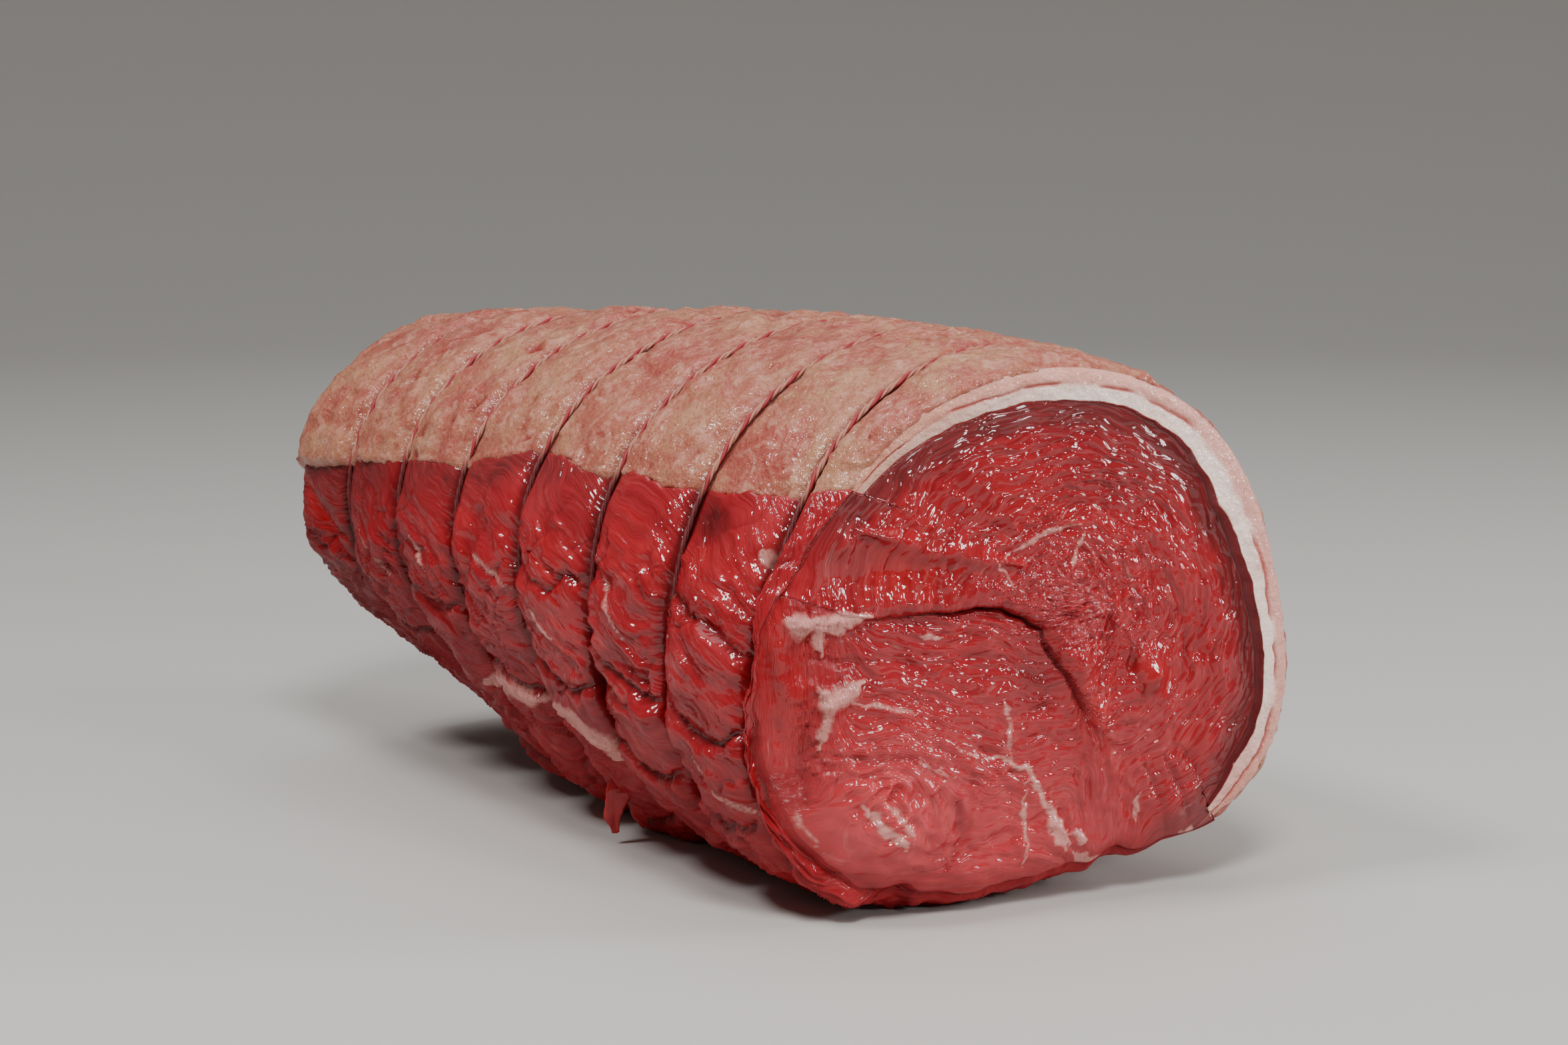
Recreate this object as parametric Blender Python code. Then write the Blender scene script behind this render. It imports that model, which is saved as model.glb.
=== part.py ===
"""A raw beef joint for salt beef, rolled and tied.

Lean meat under a cap of fat is held in a roll by seven loops of twine. Each loop
bites in, so the roll swells between the loops. The near end is a broad cut face.
The roll lies along X with the cut face at +X, and rests on z = 0.
"""

import math

import bmesh
import bpy
from mathutils import Vector

MM = 0.001

# Length of the roll, in millimetres back from the middle of the cut face
TIE_COUNT = 7
TIE_SPACING = 33.2
NEAR_END = 26.0
FAR_END = 37.0
LENGTH = NEAR_END + (TIE_COUNT - 1) * TIE_SPACING + FAR_END
FACE_SLANT = 0.28

# Section under the twine at the near face, the middle and the far end
HALF_WIDTH = (68.5, 68.3, 58.5)
HALF_HEIGHT = (65.8, 67.0, 51.5)
CENTRE_HEIGHT = (66.3, 72.2, 73.5)
SKEW = (0.052, 0.004, -0.150)
THREE_SIDED_ACROSS = (0.012, -0.009, -0.010)
THREE_SIDED_UP = (-0.055, 0.053, -0.008)
FOUR_SIDED = (-0.031, 0.017, 0.017)

# Swelling between the loops
FAT_SWELL = 3.0
FAT_INSIDE_SWELL = 1.5
FAT_OVERHANG = 4.0
OVERHANG_PLACE = (-262.0, 45.0)
OVERHANG_POWER = 4
LEAN_EXTRA_SWELL = 3.5
SWELL_ANGLE = (205.0, 55.0)
BELLY = 7.0
BELLY_PLACE = (-150.0, 50.0)
BELLY_ANGLE = (238.0, 24.0)
FLARE = 7.5
FLARE_ANGLE = (178.0, 38.0)
SWELL_POWER = 3
FADE_TO_FAT = 3
GROOVE_HALF = 1.3
GROOVE_LIFT = 2.7
LIFT_ENDS = 0.55
END_ROUND = 9.0

# Rows of points along the roll: shares of the way from the rim to the first groove, and millimetres
# past a loop, past the last loop, and short of the far end in shares of its rounding
NEAR_STEPS = (0.0, 0.14, 0.4, 0.66)
GROOVE_STEPS = (GROOVE_HALF, 3.4, 8.2)
LAST_STEPS = (GROOVE_HALF, 3.4, 9.0, 20.35)
CORNER_STEPS = (0.6, 0.15, 0.0)

# Shares of the roll's ends over which it rises from the groove beside them
NEAR_RISE = 0.6
FAR_RISE = 0.5

# Fat cap: the angles of its two edges, and its thickness from the right edge to the left
FAT_RIGHT = -47.0
FAT_LEFT = (140.5, 157.5, 165.0)
FAT_THICKNESS = ((0.0, 5.0), (0.06, 10.0), (0.3, 10.5), (0.46, 12.6), (0.57, 9.0), (0.86, 7.0), (1.0, 3.2))
FAT_STEPS = 20
LEAN_STEPS = 20

# Cut face: the middle, the steps from the rim to the middle, and how far it stands out
FACE_MIDDLE = (14.0, 76.0)
FACE_STEPS = (0.985, 0.9, 0.78, 0.65, 0.51, 0.37, 0.23, 0.1, 0.0)
FACE_DOME = 3.0
FACE_EDGE_DROP = 2.5
FACE_EDGE_POWER = 6
SEAM = ((-52.0, 77.0), (-34.0, 76.0), (-13.0, 75.5), (-3.0, 70.0), (5.0, 58.0), (9.0, 51.0), (13.0, 34.0))
SEAM_STEP = 3.0
SEAM_REACH = 18.0
MOUND = (-44.0, 30.0)
MOUND_SIZE = 20.0
MOUND_HEIGHT = 5.0
NUB = (24.0, 58.0)
NUB_SIZE = 6.0
NUB_HEIGHT = 3.0
FAR_STEPS = (0.7, 0.4)

# Loose scrap of lean that hangs from the lower left edge
SCRAP_ROUTE = ((-110.0, -38.0, 22.0), (-109.0, -47.0, 15.0), (-107.0, -52.0, 9.0), (-106.0, -54.0, 2.5))
SCRAP_WIDTHS = (9.0, 7.0, 4.5, 0.8)
SCRAP_SIDES = 8
SCRAP_FLATNESS = 0.5

# Twine
TWINE_THICKNESS = 1.5
TWINE_SIDES = 5
CLEARANCE = 0.3

# Gap between the lean and the fat, measured aslant
FAT_CLEARANCE = 1.4 * CLEARANCE

MERGE = 1e-6
SHARP_ANGLE = 60.0


def along(values, x):
    """Smooth value at x, from its values at the near face, the middle and the far end."""
    share = min(-x / LENGTH, 1.0)
    near, middle, far = values
    ends = near * (1 - share) * (1 - 2 * share) + far * share * (2 * share - 1)
    return ends + 4 * middle * share * (1 - share)


def tie_x(index):
    """Place of a loop, counted from the cut face."""
    return -NEAR_END - index * TIE_SPACING


def outline(x, angle, swell, lift):
    """Point of the roll's section at an angle in degrees, pushed out by swell and kept above lift."""
    turn = math.radians(angle)
    reach = 1.0
    reach += along(SKEW, x) * math.sin(2 * turn)
    reach += along(THREE_SIDED_ACROSS, x) * math.cos(3 * turn)
    reach += along(THREE_SIDED_UP, x) * math.sin(3 * turn)
    reach += along(FOUR_SIDED, x) * math.cos(4 * turn)
    half_width = along(HALF_WIDTH, x)
    half_height = along(HALF_HEIGHT, x)
    outward = Vector((half_height * math.cos(turn), half_width * math.sin(turn))).normalized()
    y = half_width * reach * math.cos(turn) + swell * outward.x
    z = along(CENTRE_HEIGHT, x) + half_height * reach * math.sin(turn) + swell * outward.y
    return y, max(z, lift)


def face_x(y):
    """The cut runs back towards the left side."""
    return FACE_SLANT * y


def bell(value, middle, reach):
    """1 at the middle, fading to nothing past its reach."""
    return math.exp(-(((value - middle) / reach) ** 2))


def swell_share(distance, half_gap):
    """Rise of the surface from a loop's groove to the crest of the swelling beside it, from 0 to 1."""
    rest = 1.0 - (distance - GROOVE_HALF) / (half_gap - GROOVE_HALF)
    rest = min(max(rest, 0.0), 1.0)
    return math.sqrt(1.0 - rest**SWELL_POWER)


def stations():
    """Rows of points from the cut face to the far end: the stretch, its loop and the place there.

    The place is a share of the way to the first groove in the stretch at the face, and otherwise
    a place along the roll.
    """
    places = [("face", 0, share) for share in NEAR_STEPS]
    places += [("face", 0, "groove")]
    for index in range(TIE_COUNT - 1):
        near, far = tie_x(index), tie_x(index + 1)
        places += [("between", index, near - step) for step in GROOVE_STEPS]
        places += [("between", index, (near + far) / 2)]
        places += [("between", index, far + step) for step in reversed(GROOVE_STEPS)]
    places += [("end", 0, tie_x(TIE_COUNT - 1) - step) for step in LAST_STEPS]
    places += [("end", 0, -LENGTH + END_ROUND * share) for share in CORNER_STEPS]
    return places


def surface(place, angle, crest, flare=0.0, drop=0.0):
    """Point on the roll's outside.

    Crest is its highest swelling. At the rim of the cut it swells by flare and sits back by drop.
    """
    kind, index, where = place
    if kind == "face":
        first = tie_x(0)
        y, _ = outline(0.0, angle, flare, 0.0)
        start = face_x(y) - drop
        stop = first + GROOVE_HALF
        share = 1.0 if where == "groove" else where
        x = start + (stop - start) * share
        rise = swell_share(x - first, (start - first) * NEAR_RISE)
        swell = rise * (crest + (flare - crest) * (1 - share) ** 2)
    elif kind == "between":
        x = where
        rise = swell_share(min(tie_x(index) - x, x - tie_x(index + 1)), TIE_SPACING / 2)
        swell = rise * crest
    else:
        x = where
        rise = swell_share(tie_x(TIE_COUNT - 1) - x, FAR_END * FAR_RISE)
        into_end = min(max(x + LENGTH - END_ROUND, -END_ROUND), 0.0)
        rounding = END_ROUND - math.sqrt(END_ROUND**2 - into_end**2)
        swell = rise * crest - rounding
        rise = 1.0
    lift = GROOVE_LIFT * max(1.0 - rise / LIFT_ENDS, 0.0)
    return Vector((x, *outline(x, angle, swell, lift)))


def fat_angle(step, x):
    """Angle of a step round the fat cap, from its right edge to its left edge."""
    left = along(FAT_LEFT, x)
    return FAT_RIGHT + (left - FAT_RIGHT) * step / FAT_STEPS


def fat_depth(step):
    """Thickness of the fat cap at a step round it."""
    share = step / FAT_STEPS
    for (start, thick_a), (stop, thick_b) in zip(FAT_THICKNESS, FAT_THICKNESS[1:]):
        if share <= stop:
            return thick_a + (thick_b - thick_a) * (share - start) / (stop - start)
    return FAT_THICKNESS[-1][1]


def place_x(place):
    """Rough place of a station, which sets the angles of the fat's edges there."""
    kind, _, where = place
    if kind == "face":
        return tie_x(0) * (1.0 if where == "groove" else where)
    return where


def fat_point(place, step, inside):
    """Point of the fat cap's outer or inner surface."""
    angle = fat_angle(step, place_x(place))
    if not inside:
        beside_edge = (step / FAT_STEPS) ** OVERHANG_POWER
        overhang = FAT_OVERHANG * bell(place_x(place), *OVERHANG_PLACE) * beside_edge
        return surface(place, angle, FAT_SWELL + overhang)
    point = surface(place, angle, FAT_INSIDE_SWELL)
    turn = math.radians(angle)
    inward = Vector((0.0, -math.cos(turn), -math.sin(turn)))
    return point + inward * fat_depth(step)


def lean_point(place, column):
    """Point of the lean's outside, which runs under the fat cap and then round the bare side."""
    x = place_x(place)
    if column <= FAT_STEPS:
        point = fat_point(place, column, True)
        turn = math.radians(fat_angle(column, x))
        aside = {0: FAT_CLEARANCE, FAT_STEPS: -FAT_CLEARANCE}.get(column, 0.0)
        inward = Vector((0.0, -math.cos(turn), -math.sin(turn))) * FAT_CLEARANCE
        return point + inward + Vector((0.0, math.sin(turn), -math.cos(turn))) * aside
    bare_start = along(FAT_LEFT, x) + edge_gap(x)
    bare_stop = FAT_RIGHT + 360.0 - edge_gap(x)
    share = (column - FAT_STEPS - 1) / LEAN_STEPS
    angle = bare_start + (bare_stop - bare_start) * share
    crest = FAT_SWELL + LEAN_EXTRA_SWELL * bell(angle, *SWELL_ANGLE) * beyond_fat(column)
    crest += BELLY * bell(x, *BELLY_PLACE) * bell(angle, *BELLY_ANGLE)
    flare = FLARE * bell(angle, *FLARE_ANGLE) * beyond_fat(column)
    return surface(place, angle, crest, flare, FACE_EDGE_DROP * beyond_fat(column))


def beyond_fat(column):
    """0 on the lean's columns under the fat cap and beside its edges, rising to 1 on the bare side."""
    from_edge = min(column - FAT_STEPS - 1, FAT_STEPS + 1 + LEAN_STEPS - column)
    return min(max(from_edge / FADE_TO_FAT, 0.0), 1.0)


def edge_gap(x):
    """Angle of the clearance beside the fat's edges."""
    return math.degrees(FAT_CLEARANCE / along(HALF_WIDTH, x))


def beside_seam(y, z):
    """Distance from the seam between the two muscles, positive on the side that stands proud."""
    nearest = None
    for start, stop in zip(SEAM, SEAM[1:]):
        start, stop = Vector(start), Vector(stop)
        run = stop - start
        share = min(max((Vector((y, z)) - start).dot(run) / run.length_squared, 0.0), 1.0)
        offset = Vector((y, z)) - (start + run * share)
        side = run.x * offset.y - run.y * offset.x
        if nearest is None or offset.length < abs(nearest):
            nearest = math.copysign(offset.length, side)
    return nearest


def bump(y, z, middle, size):
    """Round hill of height 1 on the cut face."""
    distance = math.hypot(y - middle[0], z - middle[1])
    return math.exp(-((distance / size) ** 2))


def face_relief(y, z):
    """How far the cut face stands out from its plane."""
    beside = beside_seam(y, z)
    height = MOUND_HEIGHT * bump(y, z, MOUND, MOUND_SIZE)
    height += NUB_HEIGHT * bump(y, z, NUB, NUB_SIZE)
    if beside > 0:
        height += SEAM_STEP * math.exp(-beside / SEAM_REACH)
    return height


def evened(ring, times):
    """Ring of points drawn nearer to even steps, each pass setting a point between its neighbours."""
    for _ in range(times):
        following = ring[1:] + ring[:1]
        previous = ring[-1:] + ring[:-1]
        ring = [(before + point + after) / 3 for before, point, after in zip(previous, ring, following)]
    return ring


def face_point(rim, share, drop):
    """Point of the cut face between its middle and a point of its rim, which sits back by drop."""
    y = FACE_MIDDLE[0] + (rim.y - FACE_MIDDLE[0]) * share
    z = FACE_MIDDLE[1] + (rim.z - FACE_MIDDLE[1]) * share
    edge = share**FACE_EDGE_POWER
    relief = FACE_DOME * (1 - share**2) + face_relief(y, z)
    return Vector((face_x(y) - drop * edge + relief * (1 - edge), y, z))


def wrapped_body(name, rows, columns, place, material):
    """Closed body from a grid whose rows close round it, each point set by place(row, column)."""
    shape = bmesh.new()
    bmesh.ops.create_grid(shape, x_segments=rows - 1, y_segments=columns, size=1.0)
    for vertex in shape.verts:
        row = round((vertex.co.x + 1) / 2 * (rows - 1))
        column = round((vertex.co.y + 1) / 2 * columns) % columns
        vertex.co = place(row, column) * MM
    bmesh.ops.remove_doubles(shape, verts=shape.verts, dist=MERGE)
    bmesh.ops.recalc_face_normals(shape, faces=shape.faces)
    mesh = bpy.data.meshes.new(name)
    shape.to_mesh(mesh)
    shape.free()
    mesh.shade_smooth()
    mesh.set_sharp_from_angle(angle=math.radians(SHARP_ANGLE))
    mesh.materials.append(material)
    body = bpy.data.objects.new(name, mesh)
    bpy.context.scene.collection.objects.link(body)
    return body


def make_material(name, colour, roughness):
    """Plain finish with a linear colour."""
    material = bpy.data.materials.new(name)
    material.use_nodes = True
    shader = material.node_tree.nodes["Principled BSDF"]
    shader.inputs["Base Color"].default_value = (*colour, 1.0)
    shader.inputs["Roughness"].default_value = roughness
    return material


def make_scrap(lean):
    """Tapered scrap that hangs from the lean, joined to it."""
    rows = len(SCRAP_ROUTE) + 2

    def place(row, column):
        ring = min(max(row - 1, 0), len(SCRAP_ROUTE) - 1)
        centre = Vector(SCRAP_ROUTE[ring])
        if row in (0, rows - 1):
            return centre
        turn = 2 * math.pi * column / SCRAP_SIDES
        width = SCRAP_WIDTHS[ring]
        return centre + Vector((math.cos(turn) * width, 0.0, math.sin(turn) * width * SCRAP_FLATNESS))

    scrap = wrapped_body("scrap", rows, SCRAP_SIDES, place, lean.data.materials[0])
    join = lean.modifiers.new("Scrap", "BOOLEAN")
    join.operation = "UNION"
    join.object = scrap
    bpy.context.view_layer.objects.active = lean
    lean.select_set(True)
    bpy.ops.object.modifier_apply(modifier=join.name)
    bpy.data.objects.remove(scrap)


def make_lean(material):
    """Lean meat from the middle of the cut face to the middle of the far end."""
    places = stations()
    face_rows = len(FACE_STEPS)
    far_rows = len(FAR_STEPS) + 1
    rows = face_rows + len(places) + far_rows
    far_middle = Vector((-LENGTH, 0.0, CENTRE_HEIGHT[2]))
    columns = FAT_STEPS + 1 + LEAN_STEPS + 1
    rim = [lean_point(places[0], column) for column in range(columns)]
    face_rings = [evened(rim, times) for times in range(face_rows)]

    def place(row, column):
        if row < face_rows:
            inward = face_rows - 1 - row
            drop = FACE_EDGE_DROP * beyond_fat(column)
            return face_point(face_rings[inward][column], FACE_STEPS[inward], drop)
        if row < face_rows + len(places):
            return lean_point(places[row - face_rows], column)
        if row == rows - 1:
            return far_middle
        share = FAR_STEPS[row - face_rows - len(places)]
        return far_middle.lerp(lean_point(places[-1], column), share)

    lean = wrapped_body("lean", rows, columns, place, material)
    make_scrap(lean)
    return lean


def make_fat(material):
    """Cap of fat over the top and the right side of the lean."""
    places = stations()
    rows = len(places) + 2
    columns = 2 * (FAT_STEPS + 1)

    def place(row, column):
        inside = column > FAT_STEPS
        step = columns - 1 - column if inside else column
        station = places[min(max(row - 1, 0), len(places) - 1)]
        outer = fat_point(station, step, False)
        inner = fat_point(station, step, True)
        if row in (0, rows - 1):
            return (outer + inner) / 2
        return inner if inside else outer

    return wrapped_body("fat_cap", rows, columns, place, material)


def make_twine(index, material):
    """One loop of twine in its groove, round the fat and the lean."""
    x = tie_x(index)
    left = along(FAT_LEFT, x)
    angles = [fat_angle(step, x) for step in range(FAT_STEPS + 1)]
    bare = 360.0 + FAT_RIGHT - left
    angles += [left + bare * step / LEAN_STEPS for step in range(1, LEAN_STEPS)]
    floor = [Vector((x, *outline(x, angle, 0.0, GROOVE_LIFT))) for angle in angles]
    radius = TWINE_THICKNESS / 2

    def place(row, column):
        row = row % len(floor)
        run = (floor[(row + 1) % len(floor)] - floor[row - 1]).normalized()
        outward = Vector((0.0, run.z, -run.y))
        turn = 2 * math.pi * (column + 0.5) / TWINE_SIDES
        centre = floor[row] + outward * (radius + CLEARANCE)
        return centre + outward * math.cos(turn) * radius + Vector((math.sin(turn) * radius, 0.0, 0.0))

    return wrapped_body(f"twine_{index + 1}", len(floor) + 1, TWINE_SIDES, place, material)


def stand_on_origin(bodies):
    """Moves every body alike, so that the whole stands on the origin."""
    corners = [vertex.co for body in bodies for vertex in body.data.vertices]
    low = [min(corner[axis] for corner in corners) for axis in range(3)]
    high = [max(corner[axis] for corner in corners) for axis in range(3)]
    shift = Vector((-(low[0] + high[0]) / 2, -(low[1] + high[1]) / 2, -low[2]))
    for body in bodies:
        for vertex in body.data.vertices:
            vertex.co += shift
    print("moved by", [round(value / MM, 3) for value in shift])


def main():
    """Builds every piece and stands them on the origin."""
    for old in list(bpy.data.objects):
        bpy.data.objects.remove(old, do_unlink=True)
    lean_material = make_material("lean", (0.26, 0.022, 0.025), 0.3)
    fat_material = make_material("fat", (0.58, 0.31, 0.24), 0.4)
    twine_material = make_material("twine", (0.62, 0.45, 0.32), 0.8)
    bodies = [make_lean(lean_material), make_fat(fat_material)]
    bodies += [make_twine(index, twine_material) for index in range(TIE_COUNT)]
    stand_on_origin(bodies)


main()
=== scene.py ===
"""Looks of a raw beef joint for salt beef, rolled and tied.

Each piece repeats the form of its solid with many more points, and adds the folds,
fibres and seams of the meat, the wrinkles of the fat and the strands of the twine.
"""

import math

import bmesh
import bpy
import numpy as np
from mathutils import Matrix, Vector


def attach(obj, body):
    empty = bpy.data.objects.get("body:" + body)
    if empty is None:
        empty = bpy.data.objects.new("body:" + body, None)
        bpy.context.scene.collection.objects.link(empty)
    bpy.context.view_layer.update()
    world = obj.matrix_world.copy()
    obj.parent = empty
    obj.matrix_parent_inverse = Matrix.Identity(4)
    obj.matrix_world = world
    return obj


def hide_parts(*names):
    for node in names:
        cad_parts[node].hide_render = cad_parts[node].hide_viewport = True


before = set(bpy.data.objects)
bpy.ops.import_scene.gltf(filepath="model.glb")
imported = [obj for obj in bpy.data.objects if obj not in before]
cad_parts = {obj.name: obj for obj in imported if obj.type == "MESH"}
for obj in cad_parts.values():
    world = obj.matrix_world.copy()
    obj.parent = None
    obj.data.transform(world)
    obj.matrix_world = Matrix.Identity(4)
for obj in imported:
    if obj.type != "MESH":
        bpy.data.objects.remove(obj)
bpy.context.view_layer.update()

MM = 0.001

# The roll, in millimetres back from the middle of the cut face
PLACE = np.array((121.685, 1.602, 0.0))
TIE_COUNT = 7
TIE_SPACING = 33.2
NEAR_END = 26.0
FAR_END = 37.0
LENGTH = NEAR_END + (TIE_COUNT - 1) * TIE_SPACING + FAR_END
FACE_SLANT = 0.28
HALF_WIDTH = (68.5, 68.3, 58.5)
HALF_HEIGHT = (65.8, 67.0, 51.5)
CENTRE_HEIGHT = (66.3, 72.2, 73.5)
SKEW = (0.052, 0.004, -0.150)
THREE_SIDED_ACROSS = (0.012, -0.009, -0.010)
THREE_SIDED_UP = (-0.055, 0.053, -0.008)
FOUR_SIDED = (-0.031, 0.017, 0.017)
FAT_SWELL = 3.0
FAT_INSIDE_SWELL = 1.5
FAT_OVERHANG = 4.0
OVERHANG_PLACE = (-262.0, 45.0)
LEAN_EXTRA_SWELL = 3.5
SWELL_ANGLE = (205.0, 55.0)
BELLY = 7.0
BELLY_PLACE = (-150.0, 50.0)
BELLY_ANGLE = (238.0, 24.0)
FLARE = 7.5
FLARE_ANGLE = (178.0, 38.0)
GROOVE_HALF = 1.3
GROOVE_LIFT = 2.7
LIFT_ENDS = 0.55
END_ROUND = 9.0
FACE_REACH = NEAR_END - GROOVE_HALF
# Half the gap between the pieces that meet under the first loop
JOIN_GAP = 0.15

# Fat cap: its edges, as places along the roll and angles there, and its thickness
FAT_RIGHT = -47.0
FAT_EDGE_PLACES = (-262, -255, -225, -191, -155, -140, -123, -105, -87, -61, -47, -29, 0)
FAT_EDGE_ANGLES = (165, 164, 162.5, 160, 158.5, 155, 151, 154, 152, 152, 150, 147, 141)
FAT_DEPTH_PLACES = (0.0, 0.06, 0.3, 0.46, 0.57, 0.86, 1.0)
FAT_DEPTHS = (5.0, 10.0, 10.5, 12.6, 9.0, 7.0, 3.2)
FAT_ROUND = 3.5
# Rows of points round each long edge of the fat cap, and its swell there as a share of the thickness
FAT_LIP = 6
FAT_LIP_SWELL = 0.22
# Distance that stands for no edge nearby
FAR_OFF = 99.0
# Share of the bare side's turn in which the lean rises beyond the fat's edge
BEYOND_FAT = 0.15

# Cut face
FACE_MIDDLE = (14.0, 76.0)
FACE_DOME = 3.0
FACE_EDGE_DROP = 2.5
SEAM_STEP = 3.0
SEAM_REACH = 18.0
MOUND = (-44.0, 30.0)
MOUND_SIZE = 20.0
MOUND_HEIGHT = 5.0
RIM_ROUND = 9.0
SIDE_ROUND = 4.0
UPPER_MIDDLE = (2, 74)
SWIRL_SIZE = 17.0

# Places of the cut face with a colour of their own, and of a painted shadow below the seam: middle across and
# up, half size each way
LEFT_LOBE = ((-66, 62), (8, 22))
FRESH_HOLLOW = ((-43, 87), (15, 6))
NUB = ((24.5, 58), (4, 5))
TONGUE = ((9, 48), (5, 12))
SEAM_SHADOW = ((-4, 59), (7, 8))
PINK_FOOT = ((-6, 20), (18, 14))

# Lumps of the cut face's lower rim: angle, reach in degrees, height
RIM_LUMPS = (
    (231, 7, 2.8),
    (239, 3, -2.8),
    (255, 5, 1.0),
    (268, 5, 1.2),
    (283, 4, 1.4),
    (289, 2.6, -1.2),
    (295, 4, 2.0),
    (303, 3, -1.0),
    (215, 5, 1.2),
    (205, 4, -1.0),
)

# Lines on the cut face, across and up
SEAM = (
    *((-57, 79), (-51, 77), (-41, 76), (-27, 76), (-15, 76), (-10, 74)),
    *((-4, 70), (-2, 64), (2, 58), (7, 50), (9, 45), (13, 34)),
)

# The seam and its way on below its end, where the two muscles' fibres meet
FIBRES_MEET = (*SEAM, (18, 5), (21, -55))

# Pale fat and gristle on the cut face: line across and up, width, height
FACE_PALE = (
    (((-14, 89), (-5, 94), (6, 96)), 1.7, 0.1),
    (((7, 94), (5, 90), (3, 85)), 1.6, 0.1),
    (((-17, 88), (-11, 81)), 1.4, 0.1),
    (((-19, 40), (-13, 39), (-7, 36), (-3, 29), (2, 22), (6, 15)), 2.4, 0.3),
    (((0, 25), (2, 20), (5, 14)), 4.2, 0.8),
    (((-7, 33), (-7, 23), (-6, 18), (-6, 11)), 1.8, 0.2),
    (((6, 18), (10, 16)), 2.8, 1.2),
    (((7, 13), (12, 10), (18, 9)), 3.2, 0.3),
    (((-38, 42), (-32, 38), (-26, 36)), 1.4, 0.1),
    (((-28, 45), (-20, 39)), 1.2, 0.1),
    (((-14, 54), (-12, 49), (-12, 39)), 1.6, 0.1),
    (((-53, 56), (-45, 55), (-34, 52)), 1.4, 0.2),
    (((-35, 71), (-29, 70)), 2.4, 0.5),
    (((-67, 76.5), (-65, 76), (-62, 75)), 6.5, 2.2),
    (((-64, 76), (-57, 76), (-47, 76.5)), 3.8, 1.8),
    (((-60, 76), (-60, 72), (-59.5, 68)), 3.2, 1.6),
    (((-58, 75), (-53, 73)), 2.6, 0.6),
    (((-61, 61), (-58, 57), (-54, 58), (-49, 61)), 5.2, 2.0),
    (((-58, 58), (-58, 53), (-60, 46)), 3.4, 1.4),
    (((-51, 32), (-46, 26), (-39, 20)), 3.0, 0.7),
    (((-46, 32), (-41, 27), (-37, 21)), 2.0, 0.4),
    (((24, 26), (24, 19)), 1.8, 0.2),
    (((36, 13), (41, 15)), 2.6, 0.4),
    (((-66, 34), (-62, 26), (-56, 19)), 1.4, 0.2),
)
# Hollows and swellings of the cut face: middle across and up, half size each way, height
FACE_HILLS = (
    ((-43, 86.5), (15, 4.5), -2.4),
    ((-66, 85), (4.5, 10), 1.8),
    ((-52.5, 94.5), (2.4, 2.8), 2.2),
    ((5, 61), (4.5, 8), 2.6),
    ((10.5, 43), (2.8, 7), 3.0),
    ((25, 58), (3.6, 5.0), 5.0),
    ((17, 58), (3.0, 6.0), -1.4),
    ((-30, 48), (16, 7), 0.9),
    ((20, 98), (16, 7), -1.0),
    ((-20, 64), (20, 5), -1.0),
    ((37, 60), (6, 16), -0.9),
    ((-2, 12), (9, 4), 1.8),
    ((16, 12), (6, 4), 2.4),
    ((34, 20), (5, 6), 1.6),
    ((-22, 10), (9, 5), 1.6),
    ((-63, 60), (6, 18), 2.6),
    ((-60, 92), (6, 7), 1.8),
    ((-54, 20), (8, 8), 1.2),
    ((-40, 18), (9, 6), 1.2),
    ((45, 62), (6, 18), 0.8),
)
# Ridges and creases of the cut face: line, width, height
FACE_CREASES = (
    (((-49, 97), (-41, 95), (-32, 91), (-19, 89), (-10, 87)), 5.0, 1.8),
    (((14, 73), (12.5, 64), (10.5, 54)), 4.0, -0.9),
    (((19.5, 64), (19.8, 58), (22.5, 52)), 2.6, -1.1),
    (((-71, 72), (-69, 60), (-68, 48)), 3.0, -1.2),
    (((-63, 52), (-64, 42), (-62, 32)), 2.6, -1.2),
    (((30, 36), (35, 28), (39, 18)), 2.2, -1.0),
    (((25, 34), (30, 26), (33, 15)), 2.0, -0.8),
    (((34, 38), (39, 33), (43, 27)), 1.8, -0.8),
    (((-56, 44), (-48, 42), (-38, 42), (-30, 36)), 2.6, -1.0),
    (((-26, 30), (-24, 20), (-28, 11)), 2.6, -1.1),
    (((-52, 14), (-45, 10), (-40, 4)), 2.6, -2.0),
    (((-62, 68), (-55, 66), (-46, 66)), 2.2, -0.8),
    (((28, 84), (34, 74), (36, 62)), 2.4, -0.6),
)

# Where one fold of the lean lies over the next: line along the roll and in degrees, height, reach
FOLDS = (
    (((-61, 170), (-52, 175), (-44, 176.5), (-36, 177.5), (-25, 181)), 2.4, 13.0),
    (((-60, 187), (-52, 194), (-46, 197.5), (-38, 198), (-27, 194)), 3.2, 15.0),
    (((-93, 185), (-84, 191), (-74, 193.5), (-60, 195)), 2.8, 15.0),
    (((-125, 175), (-113, 178.5), (-104, 178.5), (-94, 176)), 1.6, 10.0),
    (((-125, 195), (-112, 199), (-100, 200), (-93, 197)), 2.6, 13.0),
    (((-159, 204), (-145, 205), (-127, 209)), 2.4, 12.0),
    (((-60, 213), (-45, 217), (-29, 213)), 2.4, 14.0),
    (((-93, 209), (-78, 213), (-61, 210)), 2.4, 14.0),
    (((-191, 188), (-175, 193), (-160, 190)), 1.8, 12.0),
    (((-225, 205), (-208, 209), (-193, 206)), 1.8, 12.0),
    (((-125, 236), (-108, 240), (-93, 236)), 2.0, 14.0),
    (((-191, 240), (-175, 236), (-160, 242)), 2.0, 14.0),
    (((-60, 244), (-45, 240), (-29, 246)), 2.0, 14.0),
)
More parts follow.
